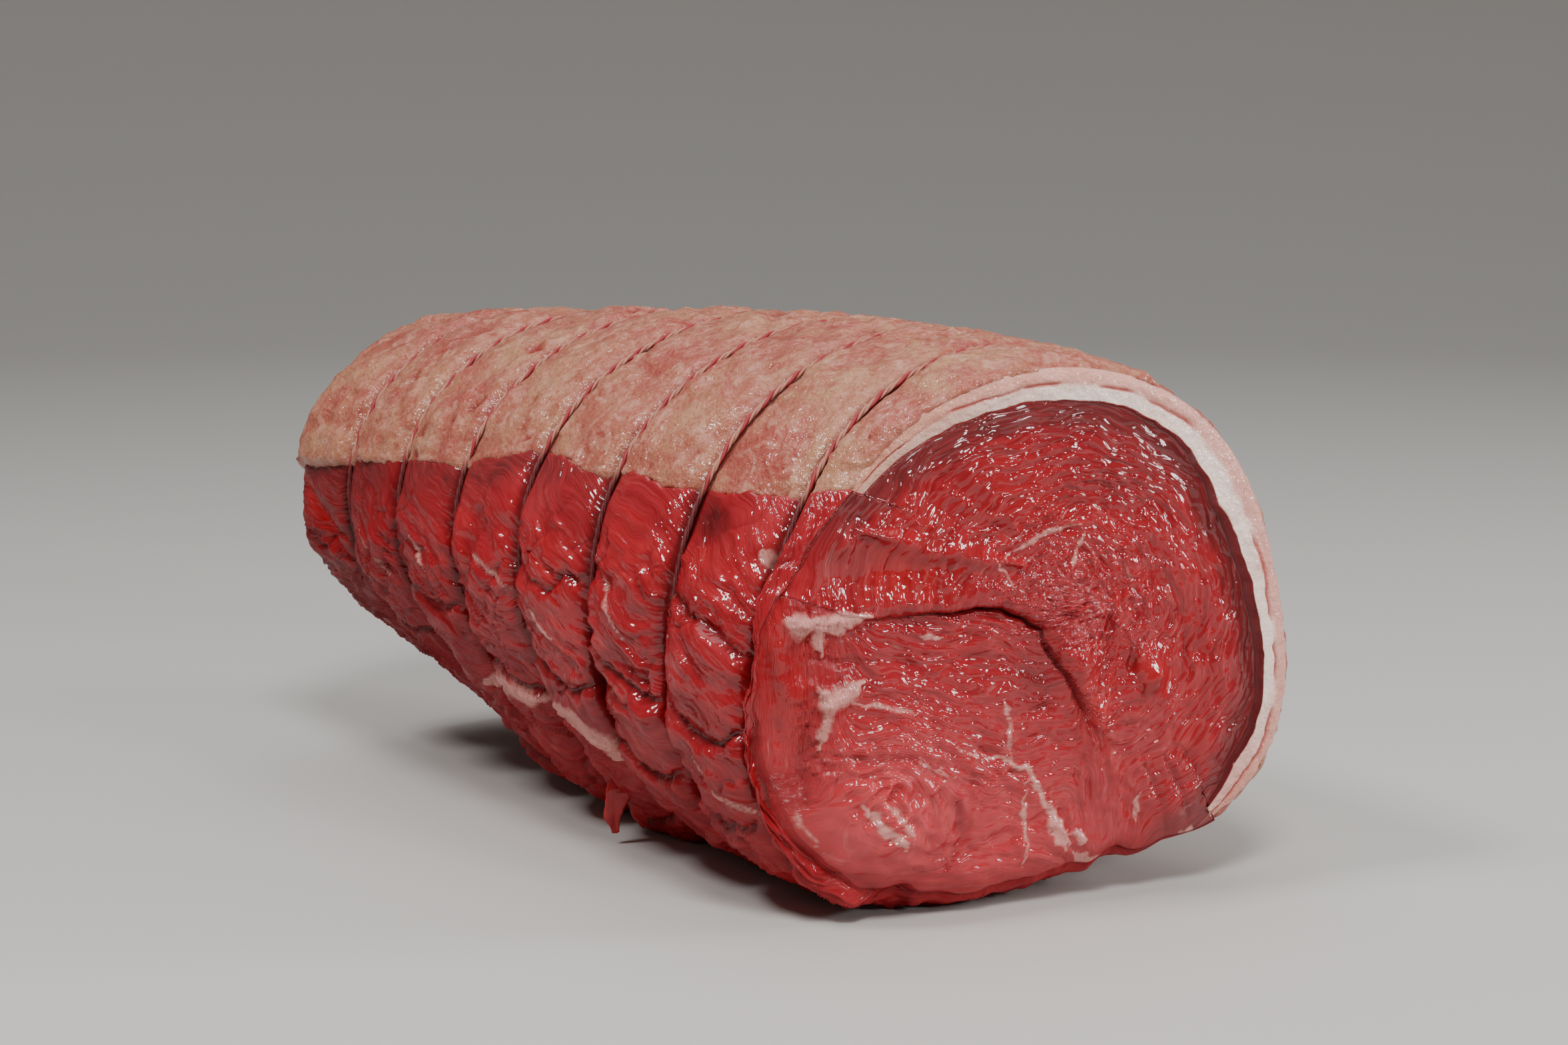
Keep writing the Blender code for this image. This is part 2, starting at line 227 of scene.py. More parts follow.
# Hollows and swellings of the lean's side: middle along the roll and in degrees, half sizes, height
HILLS = (
    ((-51, 157), (7, 5), -5.5),
    ((-88, 195), (6, 3.5), -4.0),
    ((-66, 155), (5.5, 5), 2.2),
    ((-42, 167), (12, 8), 1.8),
    ((-40, 185), (11, 9), 2.2),
    ((-126, 157), (13, 9), 2.4),
    ((-84, 156), (12, 8), 2.4),
    ((-30, 161), (3, 3), -1.5),
    ((-150, 170), (12, 10), 1.2),
    ((-110, 168), (10, 8), 1.4),
    ((-76, 178), (12, 12), 1.6),
)
# Pale fat on the lean's side: line along the roll and in degrees, width, height
PALE = (
    (((-144, 175), (-137, 179), (-128, 182)), 2.0, 0.2),
    (((-117, 184), (-105, 189)), 2.0, 0.2),
    (((-168, 214), (-150, 210), (-129, 209)), 8.0, 0.8),
    (((-114, 205), (-101, 211), (-93, 218)), 8.5, 0.9),
    (((-31, 159), (-26, 162)), 3.6, 0.6),
    (((-57, 163), (-58, 172), (-54, 181)), 1.4, 0.1),
    (((-48, 202), (-38, 208), (-26, 212)), 1.8, 0.2),
    (((-215, 178), (-205, 186), (-198, 190)), 1.8, 0.1),
    (((-180, 176), (-172, 184)), 2.2, 0.1),
    (((-90, 169), (-80, 176), (-72, 186)), 1.4, 0.1),
    (((-140, 250), (-120, 246), (-100, 252)), 6.0, 0.5),
    (((-210, 262), (-190, 270), (-170, 266)), 6.0, 0.5),
    (((-80, 268), (-62, 262), (-40, 270)), 5.0, 0.5),
)
# Slit in the lean near the far end, in millimetres along the roll and degrees round it
FAR_SLIT = ((-256, 167), (-248, 176), (-240, 183), (-233, 189))

# Millimetres to a degree round the roll
DEGREE_LENGTH = 1.134
# Angle of the middle of the bare side
FLANK_MIDDLE = 185
# Distance from a fold's line past which nothing of the fold shows
FOLD_NEAR = 60


def along(values, x):
    """Smooth value at x, from its values at the near face, the middle and the far end."""
    share = np.minimum(-x / LENGTH, 1.0)
    near, middle, far = values
    ends = near * (1 - share) * (1 - 2 * share) + far * share * (2 * share - 1)
    return ends + 4 * middle * share * (1 - share)


def bell(value, middle, reach):
    """1 at the middle, fading to nothing past its reach."""
    return np.exp(-(((value - middle) / reach) ** 2))


def spot(across, up, middle, half):
    """1 at the middle, fading to nothing past the half size each way."""
    return np.exp(-(((across - middle[0]) / half[0]) ** 2 + ((up - middle[1]) / half[1]) ** 2))


def eased(value, low, high):
    """0 below low and 1 above high, with a smooth rise between."""
    share = np.clip((value - low) / (high - low), 0.0, 1.0)
    return share * share * (3 - 2 * share)


def hashed(cells, seed):
    """Even random number from 0 to 1 for each whole cell."""
    mixed = np.uint64(seed * 3266489917)
    for axis, factor in enumerate((374761393, 668265263, 2246822519)):
        mixed = mixed + cells[..., axis].astype(np.int64).astype(np.uint64) * np.uint64(factor)
    for shift, factor in ((15, 2654435761), (13, 1274126177)):
        mixed = (mixed ^ (mixed >> np.uint64(shift))) * np.uint64(factor)
    return ((mixed ^ (mixed >> np.uint64(16))) & np.uint64(0xFFFFFF)).astype(float) / 0xFFFFFF


def noise(points, size, seed):
    """Smooth noise from about -1 to 1, with bumps of that size in millimetres along each axis."""
    scaled = points / np.asarray(size, float)
    cell = np.floor(scaled)
    part = scaled - cell
    fade = part**3 * (part * (part * 6 - 15) + 10)
    total = np.zeros(points.shape[:-1])
    for corner in np.ndindex(2, 2, 2):
        slope = np.stack([hashed(cell + corner, seed * 3 + axis) for axis in range(3)], -1) * 2 - 1
        weight = np.prod(np.where(corner, fade, 1 - fade), axis=-1)
        total += weight * (slope * (part - corner)).sum(-1)
    return total * 1.7


def layered(points, size, seed, layers=3):
    """Noise with finer and weaker noise on it."""
    size = np.asarray(size, float)
    return sum(noise(points, size / 2**layer, seed + 17 * layer) / 2**layer for layer in range(layers)) / 1.5


def ridged(points, size, seed):
    """Noise with narrow crests, from about -1 to 1."""
    return 1 - 2.6 * np.abs(noise(points, size, seed))


def beside_line(across, up, line):
    """Distance from a line, signed by side, and the share of the way along it."""
    nearest = np.full(across.shape, 1e9)
    share = np.zeros(across.shape)
    runs = [math.dist(start, stop) for start, stop in zip(line, line[1:])]
    done = 0.0
    for (start, stop), length in zip(zip(line, line[1:]), runs):
        run = ((stop[0] - start[0]) / length, (stop[1] - start[1]) / length)
        reach = np.clip((across - start[0]) * run[0] + (up - start[1]) * run[1], 0, length)
        off = (across - start[0] - run[0] * reach, up - start[1] - run[1] * reach)
        distance = np.hypot(*off)
        signed = np.copysign(distance, run[0] * off[1] - run[1] * off[0])
        closer = distance < np.abs(nearest)
        nearest = np.where(closer, signed, nearest)
        share = np.where(closer, (done + reach) / sum(runs), share)
        done += length
    return nearest, share


def stroke(across, up, line, width, fade=0.25):
    """1 along a line of a width, thinning towards both of its ends."""
    distance, share = beside_line(across, up, line)
    taper = np.clip(np.minimum(share, 1 - share) / fade, 0.25, 1.0)
    return np.exp(-((distance / (width / 2 * taper)) ** 2))


def hills(across, up, places):
    """Summed relief of round hollows and swellings."""
    return sum(height * spot(across, up, middle, half) for middle, half, height in places)


def strokes(across, up, lines):
    """Summed relief of lines, and the strongest of them at each point."""
    total = np.zeros(across.shape)
    strongest = np.zeros(across.shape)
    for line, width, height in lines:
        strength = stroke(across, up, line, width) * min(1.0, 0.4 + width / 6)
        total += height * strength
        strongest = np.maximum(strongest, strength)
    return total, strongest


def round_scaled(line):
    """A line with its degrees turned to millimetres round the roll."""
    return tuple((x, angle * DEGREE_LENGTH) for x, angle in line)


def terraced(points, size, seed):
    """Slopes from 0 to 1 that end in a step, like flaps that lie over each other."""
    value = layered(points, size, seed, 2) * 1.6
    return value - np.floor(value)


def swell_share(distance, half_gap):
    """Rise from a loop's groove to the crest of the swelling beside it."""
    rest = np.clip(1 - (distance - GROOVE_HALF) / (half_gap - GROOVE_HALF), 0, 1)
    return np.sqrt(1 - rest**3)


def outline(x, angle, swell, lift):
    """Point of the roll's section at an angle in degrees."""
    turn = np.radians(angle)
    reach = 1 + along(SKEW, x) * np.sin(2 * turn) + along(THREE_SIDED_ACROSS, x) * np.cos(3 * turn)
    reach = reach + along(THREE_SIDED_UP, x) * np.sin(3 * turn) + along(FOUR_SIDED, x) * np.cos(4 * turn)
    half_width = along(HALF_WIDTH, x)
    half_height = along(HALF_HEIGHT, x)
    outward = np.stack(np.broadcast_arrays(half_height * np.cos(turn), half_width * np.sin(turn)))
    outward = outward / np.linalg.norm(outward, axis=0)
    across = half_width * reach * np.cos(turn) + swell * outward[0]
    up = along(CENTRE_HEIGHT, x) + half_height * reach * np.sin(turn) + swell * outward[1]
    return across, np.maximum(up, lift)


def surface(back, angle, crest, flare=0.0, drop=0.0):
    """Points of the roll's outside, back from the rim, and how far each has risen from its groove."""
    back, angle = np.broadcast_arrays(back, angle)
    rim_across, _ = outline(np.zeros(angle.shape), angle, flare, 0.0)
    start = FACE_SLANT * rim_across - drop
    share = np.clip(back / FACE_REACH, 0, 1)
    near = back < FACE_REACH
    x = np.where(near, start + (-FACE_REACH - start) * share, -back)
    near_rise = swell_share(x + NEAR_END, (start + NEAR_END) * 0.6)
    loops = -NEAR_END - TIE_SPACING * np.arange(TIE_COUNT)
    nearest = np.min(np.abs(x[..., None] - loops), axis=-1)
    ending = x < loops[-1]
    rise = swell_share(nearest, np.where(ending, FAR_END * 0.5, TIE_SPACING / 2))
    rise = np.where(near, near_rise, rise)
    swell = rise * (crest + np.where(near, (flare - crest) * (1 - share) ** 2, 0.0))
    into_end = np.clip(x + LENGTH - END_ROUND, -END_ROUND, 0)
    swell = swell - (END_ROUND - np.sqrt(END_ROUND**2 - into_end**2))
    lift = np.where(ending, 0.0, GROOVE_LIFT * np.maximum(1 - rise / LIFT_ENDS, 0))
    return np.stack((x, *outline(x, angle, swell, lift)), -1), rise


def fat_left(back):
    """Angle of the fat cap's left edge, with a slight wander."""
    angle = np.interp(-back, FAT_EDGE_PLACES, FAT_EDGE_ANGLES)
    wander = noise(np.stack((back, back * 0, back * 0), -1), 13, 5) * eased(back, 20, 50)
    ragged = noise(np.stack((back, back * 0, back * 0), -1), 4, 6) * eased(back, 4, 12)
    return angle + 1.3 * wander + 0.8 * ragged


def inward(angle):
    """Direction from the outside to the middle of the roll."""
    turn = np.radians(angle)
    return np.stack((np.zeros(turn.shape), -np.cos(turn), -np.sin(turn)), -1)


def fat_layer(back, share, inside):
    """Points of the fat cap's outer or inner surface, their angles and their rise."""
    angle = FAT_RIGHT + (fat_left(back) - FAT_RIGHT) * share
    back, angle, share = np.broadcast_arrays(back, angle, share)
    if not inside:
        overhang = FAT_OVERHANG * bell(-back, *OVERHANG_PLACE) * share**4
        points, rise = surface(back, angle, FAT_SWELL + overhang)
        return points, angle, rise
    points, rise = surface(back, angle, FAT_INSIDE_SWELL)
    depth = np.interp(share, FAT_DEPTH_PLACES, FAT_DEPTHS)
    depth = depth + 0.9 * layered(points, 8, 97) * eased(np.minimum(share, 1 - share), 0.02, 0.12)
    return points + inward(angle) * depth[..., None], angle, rise


def to_far_end(rows, end_rows):
    """Places back from the rim, from the first loop to the far end, closer together round its edge."""
    straight = np.linspace(NEAR_END + JOIN_GAP, LENGTH - END_ROUND, rows)
    turn = np.linspace(0, math.pi / 2, end_rows)[1:]
    return np.concatenate((straight, LENGTH - END_ROUND * (1 - np.sin(turn))))


def lean_layer(back, turn):
    """Points of the lean's outside, their angles, their rise and how far they lie beyond the fat cap.

    Turn runs from 0 to 1 under the fat cap and from 1 to 2 round the bare side.
    """
    back, turn = np.broadcast_arrays(back, turn)
    hidden, hidden_angle, hidden_rise = fat_layer(back, np.minimum(turn, 1), True)
    left = fat_left(back)
    angle = left + (FAT_RIGHT + 360 - left) * (turn - 1)
    beyond = np.clip(np.minimum(turn - 1, 2 - turn) / BEYOND_FAT, 0, 1)
    crest = FAT_SWELL + LEAN_EXTRA_SWELL * bell(angle, *SWELL_ANGLE) * beyond
    crest = crest + BELLY * bell(-back, *BELLY_PLACE) * bell(angle, *BELLY_ANGLE)
    flare = FLARE * bell(angle, *FLARE_ANGLE) * beyond
    shown, rise = surface(back, angle, crest, flare, FACE_EDGE_DROP * beyond)
    covered = turn <= 1
    points = np.where(covered[..., None], hidden, shown)
    angle = np.where(covered, hidden_angle, angle)
    return points, angle, np.where(covered, hidden_rise, rise), beyond * ~covered


def outward_of(points):
    """Outward direction at each point of a grid whose columns close round."""
    down = np.gradient(points, axis=0)
    wrapped = np.concatenate((points[:, -1:], points, points[:, :1]), axis=1)
    round_ = (wrapped[:, 2:] - wrapped[:, :-2]) / 2
    normal = np.cross(down, round_)
    return normal / np.maximum(np.linalg.norm(normal, axis=-1, keepdims=True), 1e-9)


# Looks of the lean

# Points round the lean's near part, under the fat cap and beyond it, rows along it and across its face
NEAR_ROUND = (190, 330)
NEAR_ROWS = 46
FACE_ROWS = 118
# The same for the rest of the lean, with the rows round its far edge and across its far end
FAR_ROUND = (70, 260)
FAR_ROWS = (236, 12)
DISC_ROWS = 30
# Rows along the scrap and points round it
SCRAP_ROWS = 44
SCRAP_ROUND = 28


def rounded_off(distance, radius):
    """How far a rounded edge lies inside a sharp one, at a distance from it."""
    short = np.clip(radius - distance, 0, radius)
    return radius - np.sqrt(radius**2 - short**2)


def evened(ring, spread=30):
    """Ring of numbers drawn nearer to their neighbours'."""
    weights = np.hanning(2 * spread + 1)
    wrapped = np.concatenate((ring[-spread:], ring, ring[:spread]))
    return np.convolve(wrapped, weights / weights.sum(), "same")[spread:-spread]


# What the lean's finish reads at each point, beside the way of its fibres
# The crack mark is mostly painted shade in folds, creases and grooves as well as the seam's crack; the brown
# mark also holds a painted shadow below the seam
LEAN_MARKS = ("crack", "fresh", "pale", "brown", "pink", "thread", "wet")


def lean_marks(grain, **given):
    """Marks of the lean at each point: the given ones, and nothing for the rest."""
    return {"grain": grain} | {name: given.get(name, 0) + np.zeros(grain.shape[:2]) for name in LEAN_MARKS}


def face_base(rim, beyond, share):
    """Points of the cut face from its rim, at share 1, to its middle, at share 0.

    With them comes their distance from an even rim.
    """
    even = share**6
    ring = [rim[:, axis] * even + evened(rim[:, axis]) * (1 - even) for axis in (1, 2)]
    across, up = [middle + (side - middle) * share for middle, side in zip(FACE_MIDDLE, ring)]
    rim_reach = np.hypot(rim[:, 1] - FACE_MIDDLE[0], rim[:, 2] - FACE_MIDDLE[1])
    smooth_reach = evened(rim_reach)
    reach = np.hypot(across - FACE_MIDDLE[0], up - FACE_MIDDLE[1])
    even_share = np.clip(reach / smooth_reach, 0, 1)
    to_mound = np.hypot(across - MOUND[0], up - MOUND[1])
    dome = FACE_DOME * (1 - even_share**2) + MOUND_HEIGHT * bell(to_mound, 0, MOUND_SIZE)
    drop = FACE_EDGE_DROP * beyond * rounded_off((1 - share) * rim_reach, RIM_ROUND) / RIM_ROUND
    x = FACE_SLANT * across - drop + dome * (1 - even_share**10)
    return np.stack(np.broadcast_arrays(x, across, up), -1), (1 - even_share) * smooth_reach


def face_grain(flat, wander):
    """Places across and along the fibres of the cut face, and which points are of the upper muscle.

    The fibres run in arcs round the upper muscle and fan out from the mound across the lower one.
    """
    across, up = flat[..., 1], flat[..., 2]
    from_meeting, share = beside_line(across + wander * 0.6, up + wander, FIBRES_MEET)
    fade_width = 0.3 + 14 * eased(share, 0.36, 0.62)
    above = eased(from_meeting, -fade_width, fade_width)
    right, higher = across - UPPER_MIDDLE[0], up - UPPER_MIDDLE[1]
    round_upper = np.hypot(right, higher * 1.05)
    turn_upper = np.degrees(np.arctan2(higher, right)) * 0.6
    to_mound = np.hypot(across - MOUND[0], up - MOUND[1])
    swirl = bell(to_mound, 0, SWIRL_SIZE)
    upright = bell(across, -68, 9) * eased(up, 28, 42)
    fanned = (up + 0.22 * across) * (1 - swirl) * (1 - upright)
    lower_across = fanned + to_mound * 1.3 * swirl + across * upright
    lower_along = across * (1 - upright) + up * upright
    grain_across = round_upper * above + lower_across * (1 - above) + 4.0 * layered(flat, 19, 3)
    grain_along = turn_upper * above + lower_along * (1 - above) + 4.0 * layered(flat, 13, 4)
    return np.stack((grain_across, grain_along, 40.0 * (1 - above)), -1), above


def face_looks(points, from_rim, beyond):
    """Relief in millimetres and marks of the cut face."""
    across, up = points[..., 1], points[..., 2]
    flat = np.stack((np.zeros(across.shape), across, up), -1)
    wander = layered(flat, 8, 41)
    grain, above = face_grain(flat, wander)
    beside, share = beside_line(across + wander * 0.6, up + wander, SEAM)
    over = np.clip(beside, 0, None)
    lip = SEAM_STEP * np.exp(-over / SEAM_REACH) * (1 - np.exp(-over / 1.5)) * (beside > 0)
    lip = lip * eased(share, 0.0, 0.15) * eased(1 - share, 0.0, 0.2)
    # The thin crack under the seam's lip: a groove in the relief, darkened below with painted shade
    crack = bell(beside, -0.1, 0.45) * eased(share, 0.15, 0.4)
    crack = crack * (0.35 + 0.65 * eased(1 - share, 0.35, 0.5)) * eased(1 - share, 0.0, 0.15)
    ragged = 0.9 * noise(flat, 2.6, 45)
    pale_relief, pale = strokes(across + 0.5 * wander + ragged, up - 0.5 * wander + ragged, FACE_PALE)
    crease_relief, _ = strokes(across + 0.7 * wander, up, FACE_CREASES)
    to_mound = np.hypot(across - MOUND[0], up - MOUND[1])
    left_lobe = spot(across, up, *LEFT_LOBE)
    strong = 0.4 + 0.8 * eased(noise(flat, 13, 48), -0.5, 0.6)
    relief = lip - 1.5 * crack + pale_relief + crease_relief + hills(across, up, FACE_HILLS)
    relief += 1.1 * layered(flat, 14, 11) + 0.5 * strong * ridged(grain, (2.8, 8, 9), 12)
    relief += 0.4 * terraced(grain, (7, 14, 9), 15) + 0.5 * (pale > 0.3) * noise(flat, 2.2, 46)
    relief += 1.3 * bell(to_mound, 0, SWIRL_SIZE) * ridged(flat, (6, 5, 5), 47)
    relief += 0.9 * left_lobe * ridged(flat, (6, 4, 13), 49) + 0.26 * noise(grain, (1.5, 5, 9), 13)
    relief += 0.22 * noise(flat, 2.6, 16) + 0.12 * noise(flat, 1.4, 14)
    # Painted shade in the crack under the seam's lip and in the creases; the face also darkens towards the
    # top
    dark = 0.75 * crack + 0.25 * np.clip(-crease_relief, 0, 1.2) + 0.16 * eased(up, 84, 112)
    fresh = 0.3 + 0.7 * layered(flat, 22, 31) + 0.6 * spot(across, up, *FRESH_HOLLOW)
    fresh += 0.8 * left_lobe + 0.4 * spot(across, up, *NUB) + 0.48 * spot(across, up, *TONGUE)
    covered_edge = (1 - beyond) * (1 - eased(from_rim + 2.5 * wander, 4.0, 10.0))
    # Painted shadow below the seam's lip, laid into the brown band's mark at half strength
    shadow = spot(across, up, *SEAM_SHADOW) * (1 - above)
    pink = 0.8 * bell(to_mound, 0, 15) * (1 + 0.7 * wander) + 0.35 * spot(across, up, *PINK_FOOT)
    pink += 0.22 * (1 - eased(up, 36, 78)) * (1 - eased(across, 15, 40))
    return relief, lean_marks(
        grain,
        crack=dark,
        fresh=fresh,
        pale=pale * 1.5 - 0.2,
        brown=covered_edge + shadow * 0.5,
        pink=pink,
        thread=1,
        wet=1 - 0.3 * eased(from_rim, 6, 0) * beyond,
    )


def folded_over(place, round_, wander):
    """Relief of the folds that lie over each other, and the gaps between them, which the lean's finish
    darkens with painted shade.
    """
    relief = np.zeros(place.shape)
    gaps = np.zeros(place.shape)
    for line, height, reach in FOLDS:
        beside, share = beside_line(place + wander, round_ + 2.4 * wander, round_scaled(line))
        ends = eased(np.minimum(share, 1 - share), 0, 0.12) * (np.abs(beside) < FOLD_NEAR)
        over = np.clip(beside, 0, None)
        gap = bell(beside, -0.4, 0.8) * ends
        relief += height * np.exp(-over / reach) * (1 - np.exp(-over / 1.6)) * (beside > 0) * ends
        relief -= 1.3 * gap
        gaps = np.maximum(gaps, gap)
    return relief, gaps


def roll_looks(points, angle, rise, back):
    """Relief in millimetres and marks of the lean's outside."""
    place, round_ = -back, angle * DEGREE_LENGTH
    lobe = np.floor((back - NEAR_END) / TIE_SPACING)
    tilt = np.radians(60 + 14 * np.sin(lobe * 2.3) + 20 * layered(points, 30, 34))
    x = place + NEAR_END + (lobe + 0.5) * TIE_SPACING
    drop = round_ - FLANK_MIDDLE * DEGREE_LENGTH
    grain_across = x * np.cos(tilt) - drop * np.sin(tilt) + 4.0 * layered(points, 22, 21)
    grain_along = x * np.sin(tilt) + drop * np.cos(tilt) + 4.0 * layered(points, 17, 28)
    grain = np.stack((grain_across, grain_along, lobe * 31.0), -1)
    wander = layered(points, 9, 27)
    relief, gaps = folded_over(place, round_, wander)
    pale_lines = [(round_scaled(line), width, height) for line, width, height in PALE]
    pale_relief, pale = strokes(place + wander, round_ - wander, pale_lines)
    places = [(*round_scaled([middle]), half, height) for middle, half, height in HILLS]
    swelling = hills(place, round_, places)
    slit = stroke(place, round_, round_scaled(FAR_SLIT), 8.0)
    relief += pale_relief + swelling - 4.5 * slit + 2.2 * layered(points, 20, 22)
    relief += 0.9 * ridged(grain, (4.2, 17, 9), 23) + 0.7 * terraced(grain, (11, 27, 9), 29)
    relief += 0.4 * noise(grain, (2.0, 7, 9), 24) + 0.25 * noise(points, 2.0, 25)
    bent = points + 5 * np.stack([layered(points, 16, seed) for seed in (91, 92, 93)], -1)
    creases = eased(ridged(bent, (13, 19, 15), 94), 0.72, 1.0) * eased(noise(points, 23, 95), -0.35, 0.2)
    relief = (relief - 1.1 * creases - 1.1) * eased(rise, 0.15, 0.7) + 0.8 * bell(rise, 0.55, 0.25)
    # Painted shade: darker in the loops' grooves, the gaps between folds, the hollows and the creases, and
    # towards the far end; lighter in the slit
    dark = np.maximum((1 - eased(rise, 0.1, 0.7)) * 0.9, 0.75 * gaps) + 0.13 * np.clip(-swelling, 0, 5)
    dark += 0.3 * creases + 0.45 * eased(back, 150, 250) - 0.5 * slit
    from_fat = (angle - fat_left(back)) * DEGREE_LENGTH
    return relief, lean_marks(
        grain,
        crack=dark,
        fresh=0.25 + 0.7 * layered(points, 24, 26) + 0.8 * slit,
        pale=pale * 1.6 - 0.25,
        brown=bell(from_fat, 2, 7) * eased(back, 60, 130) * (0.7 + 0.6 * wander) - slit,
        pink=0.35 * layered(points, 18, 30) - 0.3 * eased(back, 120, 220),
        thread=0.3,
        wet=(1 - 0.5 * eased(back, 110, 220)) * (1 - 0.6 * eased(angle, 192, 222)),
    )


def shown(name, data):
    """Object of a mesh, a light or a camera, in the scene."""
    body = bpy.data.objects.new(name, data)
    bpy.context.scene.collection.objects.link(body)
    return body


def closed_grid(name, points, marks, folded=None):
    """Closed mesh whose columns close round. Its two end rows are points, or folded flat on to themselves."""
    rows, columns = points.shape[:2]
    shape = bmesh.new()
    row_mark = shape.verts.layers.int.new("row")
    column_mark = shape.verts.layers.int.new("column")
    bmesh.ops.create_grid(shape, x_segments=rows - 1, y_segments=columns, size=1.0)
    for vertex in shape.verts:
        row = round((vertex.co.x + 1) / 2 * (rows - 1))
        column = round((vertex.co.y + 1) / 2 * columns) % columns
        vertex[row_mark], vertex[column_mark] = row, column
        if row in (0, rows - 1):
            vertex.co = (row, folded[column] if folded is not None else 0, 0)
        else:
            turn = 2 * math.pi * column / columns
            vertex.co = (row, 9 + math.cos(turn), math.sin(turn))
    bmesh.ops.remove_doubles(shape, verts=shape.verts, dist=1e-5)
    mesh = bpy.data.meshes.new(name)
    shape.to_mesh(mesh)
    shape.free()
    row_of, column_of = (np.empty(len(mesh.vertices), int) for _ in range(2))
    mesh.attributes["row"].data.foreach_get("value", row_of)
    mesh.attributes["column"].data.foreach_get("value", column_of)
    placed = (points + PLACE)[row_of, column_of] * MM
    placed[:, 2] = np.maximum(placed[:, 2], 0)
    mesh.vertices.foreach_set("co", placed.ravel())
    for mark, values in marks.items():
        marked = values[row_of, column_of].astype(float)
        if values.ndim == 3:
            mesh.attributes.new(mark, "FLOAT_VECTOR", "POINT").data.foreach_set("vector", marked.ravel())
        else:
            mesh.attributes.new(mark, "FLOAT", "POINT").data.foreach_set("value", np.clip(marked, 0, 1))
    for helper in ("row", "column"):
        mesh.attributes.remove(mesh.attributes[helper])
    mesh.update()
    mesh.calc_loop_triangles()
    corners = np.empty(len(mesh.loop_triangles) * 3, int)
    mesh.loop_triangles.foreach_get("vertices", corners)
    a, b, c = placed[corners.reshape(-1, 3)].transpose(1, 0, 2)
    if np.einsum("ij,ij->i", a, np.cross(b, c)).sum() < 0:
        mesh.flip_normals()
    mesh.shade_smooth()
    return shown(name, mesh)


def finished(body, finish, node):
    """Gives a piece its finish and its body, and hides the node of the solid that it stands for."""
    body.data.materials.append(finish)
    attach(body, "root")
    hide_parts(node)


def turns(covered, bare):
    """Values round the lean: under the fat cap from 0 to 1, then round the bare side from 1 to 2."""
    return np.concatenate((np.linspace(0, 1, covered), np.linspace(1, 2, bare + 1)[:-1] + 1e-6))


def lean_piece(name, inside, side, end, side_marks, end_marks, finish):
    """A stretch of the lean: a point inside at its loop, its side, and the face that closes it."""
    pole = np.broadcast_to(np.array((inside, 0.0, CENTRE_HEIGHT[0])), (1, *side.shape[1:]))
    points = np.concatenate((pole, side, end))
    points[-1] = points[-1].mean(axis=0)
    marks = {}
    for key, values in side_marks.items():
        marks[key] = np.concatenate((values[:1], values, end_marks[key]))
    finished(closed_grid(name, points, marks), finish, "lean")


def lean_near(finish):
    """The lean from its first loop to the cut face."""
    turn = turns(*NEAR_ROUND)
    back = np.linspace(NEAR_END - JOIN_GAP, 0, NEAR_ROWS)[:, None]
    side, angle, rise, beyond = lean_layer(back, turn[None, :])
    bare = eased(beyond, 0, 1)
    normal = outward_of(side)
    normal *= -np.sign((normal[0] * inward(angle[0])).sum(-1).mean())
    relief, side_marks = roll_looks(side, angle, rise, back + 0 * angle)
    from_edge = np.abs(side[..., 0] - side[-1:, :, 0])
    lumps = 1.6 * (layered(side, 10, 33) - 0.2)
    lumps += sum(height * bell(angle, middle, reach) for middle, reach, height in RIM_LUMPS)
    relief = relief * bare * eased(back, 0, 7)
    relief += bare * (lumps * np.exp(-from_edge / 8) - 0.6 * rounded_off(from_edge, SIDE_ROUND))
    side = side + normal * relief[..., None]
    shares = np.linspace(1, 0, FACE_ROWS)[1:, None]
    face, from_rim = face_base(side[-1], beyond[-1], shares)
    face_relief, face_marks = face_looks(face, from_rim, bare[-1] + 0 * shares)
    plane = np.array((1.0, -FACE_SLANT, 0.0)) / math.hypot(1, FACE_SLANT)
    face = face + plane * (face_relief * (1 - shares**16))[..., None]
    lean_piece("lean_near", -NEAR_END + JOIN_GAP, side, face, side_marks, face_marks, finish)


def lean_rest(finish):
    """The lean from its first loop to the far end."""
    turn = turns(*FAR_ROUND)
    back = to_far_end(*FAR_ROWS)[:, None]
    side, angle, rise, beyond = lean_layer(back, turn[None, :])
    middle = np.array((-LENGTH, 0.0, CENTRE_HEIGHT[2]))
    shares = np.linspace(1, 0, DISC_ROWS)[1:, None]
    disc = middle + (side[-1] - middle) * shares[..., None]
    normal = outward_of(np.concatenate((side, disc)))
    normal *= -np.sign(normal[-10, 0, 0])
    relief, side_marks = roll_looks(side, angle, rise, back + 0 * angle)
    side = side + normal[: len(side)] * (relief * eased(beyond, 0, 1))[..., None]
    grain_across = disc[..., 2] + 0.35 * disc[..., 1] + 6 * layered(disc, 26, 56)
    grain_along = disc[..., 1] + 6 * layered(disc, 18, 57)
    grain = np.stack((grain_across, grain_along, disc[..., 0]), -1)
    fresh = 0.3 + 0.6 * layered(disc, 20, 52)
    disc_marks = lean_marks(grain, fresh=fresh, brown=0.5 * layered(disc, 15, 53), thread=1, wet=0.8)
    relief = 1.2 * layered(disc, 16, 51) - 1.2 + 0.4 * ridged(grain, (3.2, 9, 9), 54)
    relief += 0.2 * noise(disc, 1.7, 55)
    disc[..., 0] -= relief * (1 - shares**6)
    lean_piece("lean_rest", -NEAR_END - JOIN_GAP, side, disc, side_marks, disc_marks, finish)


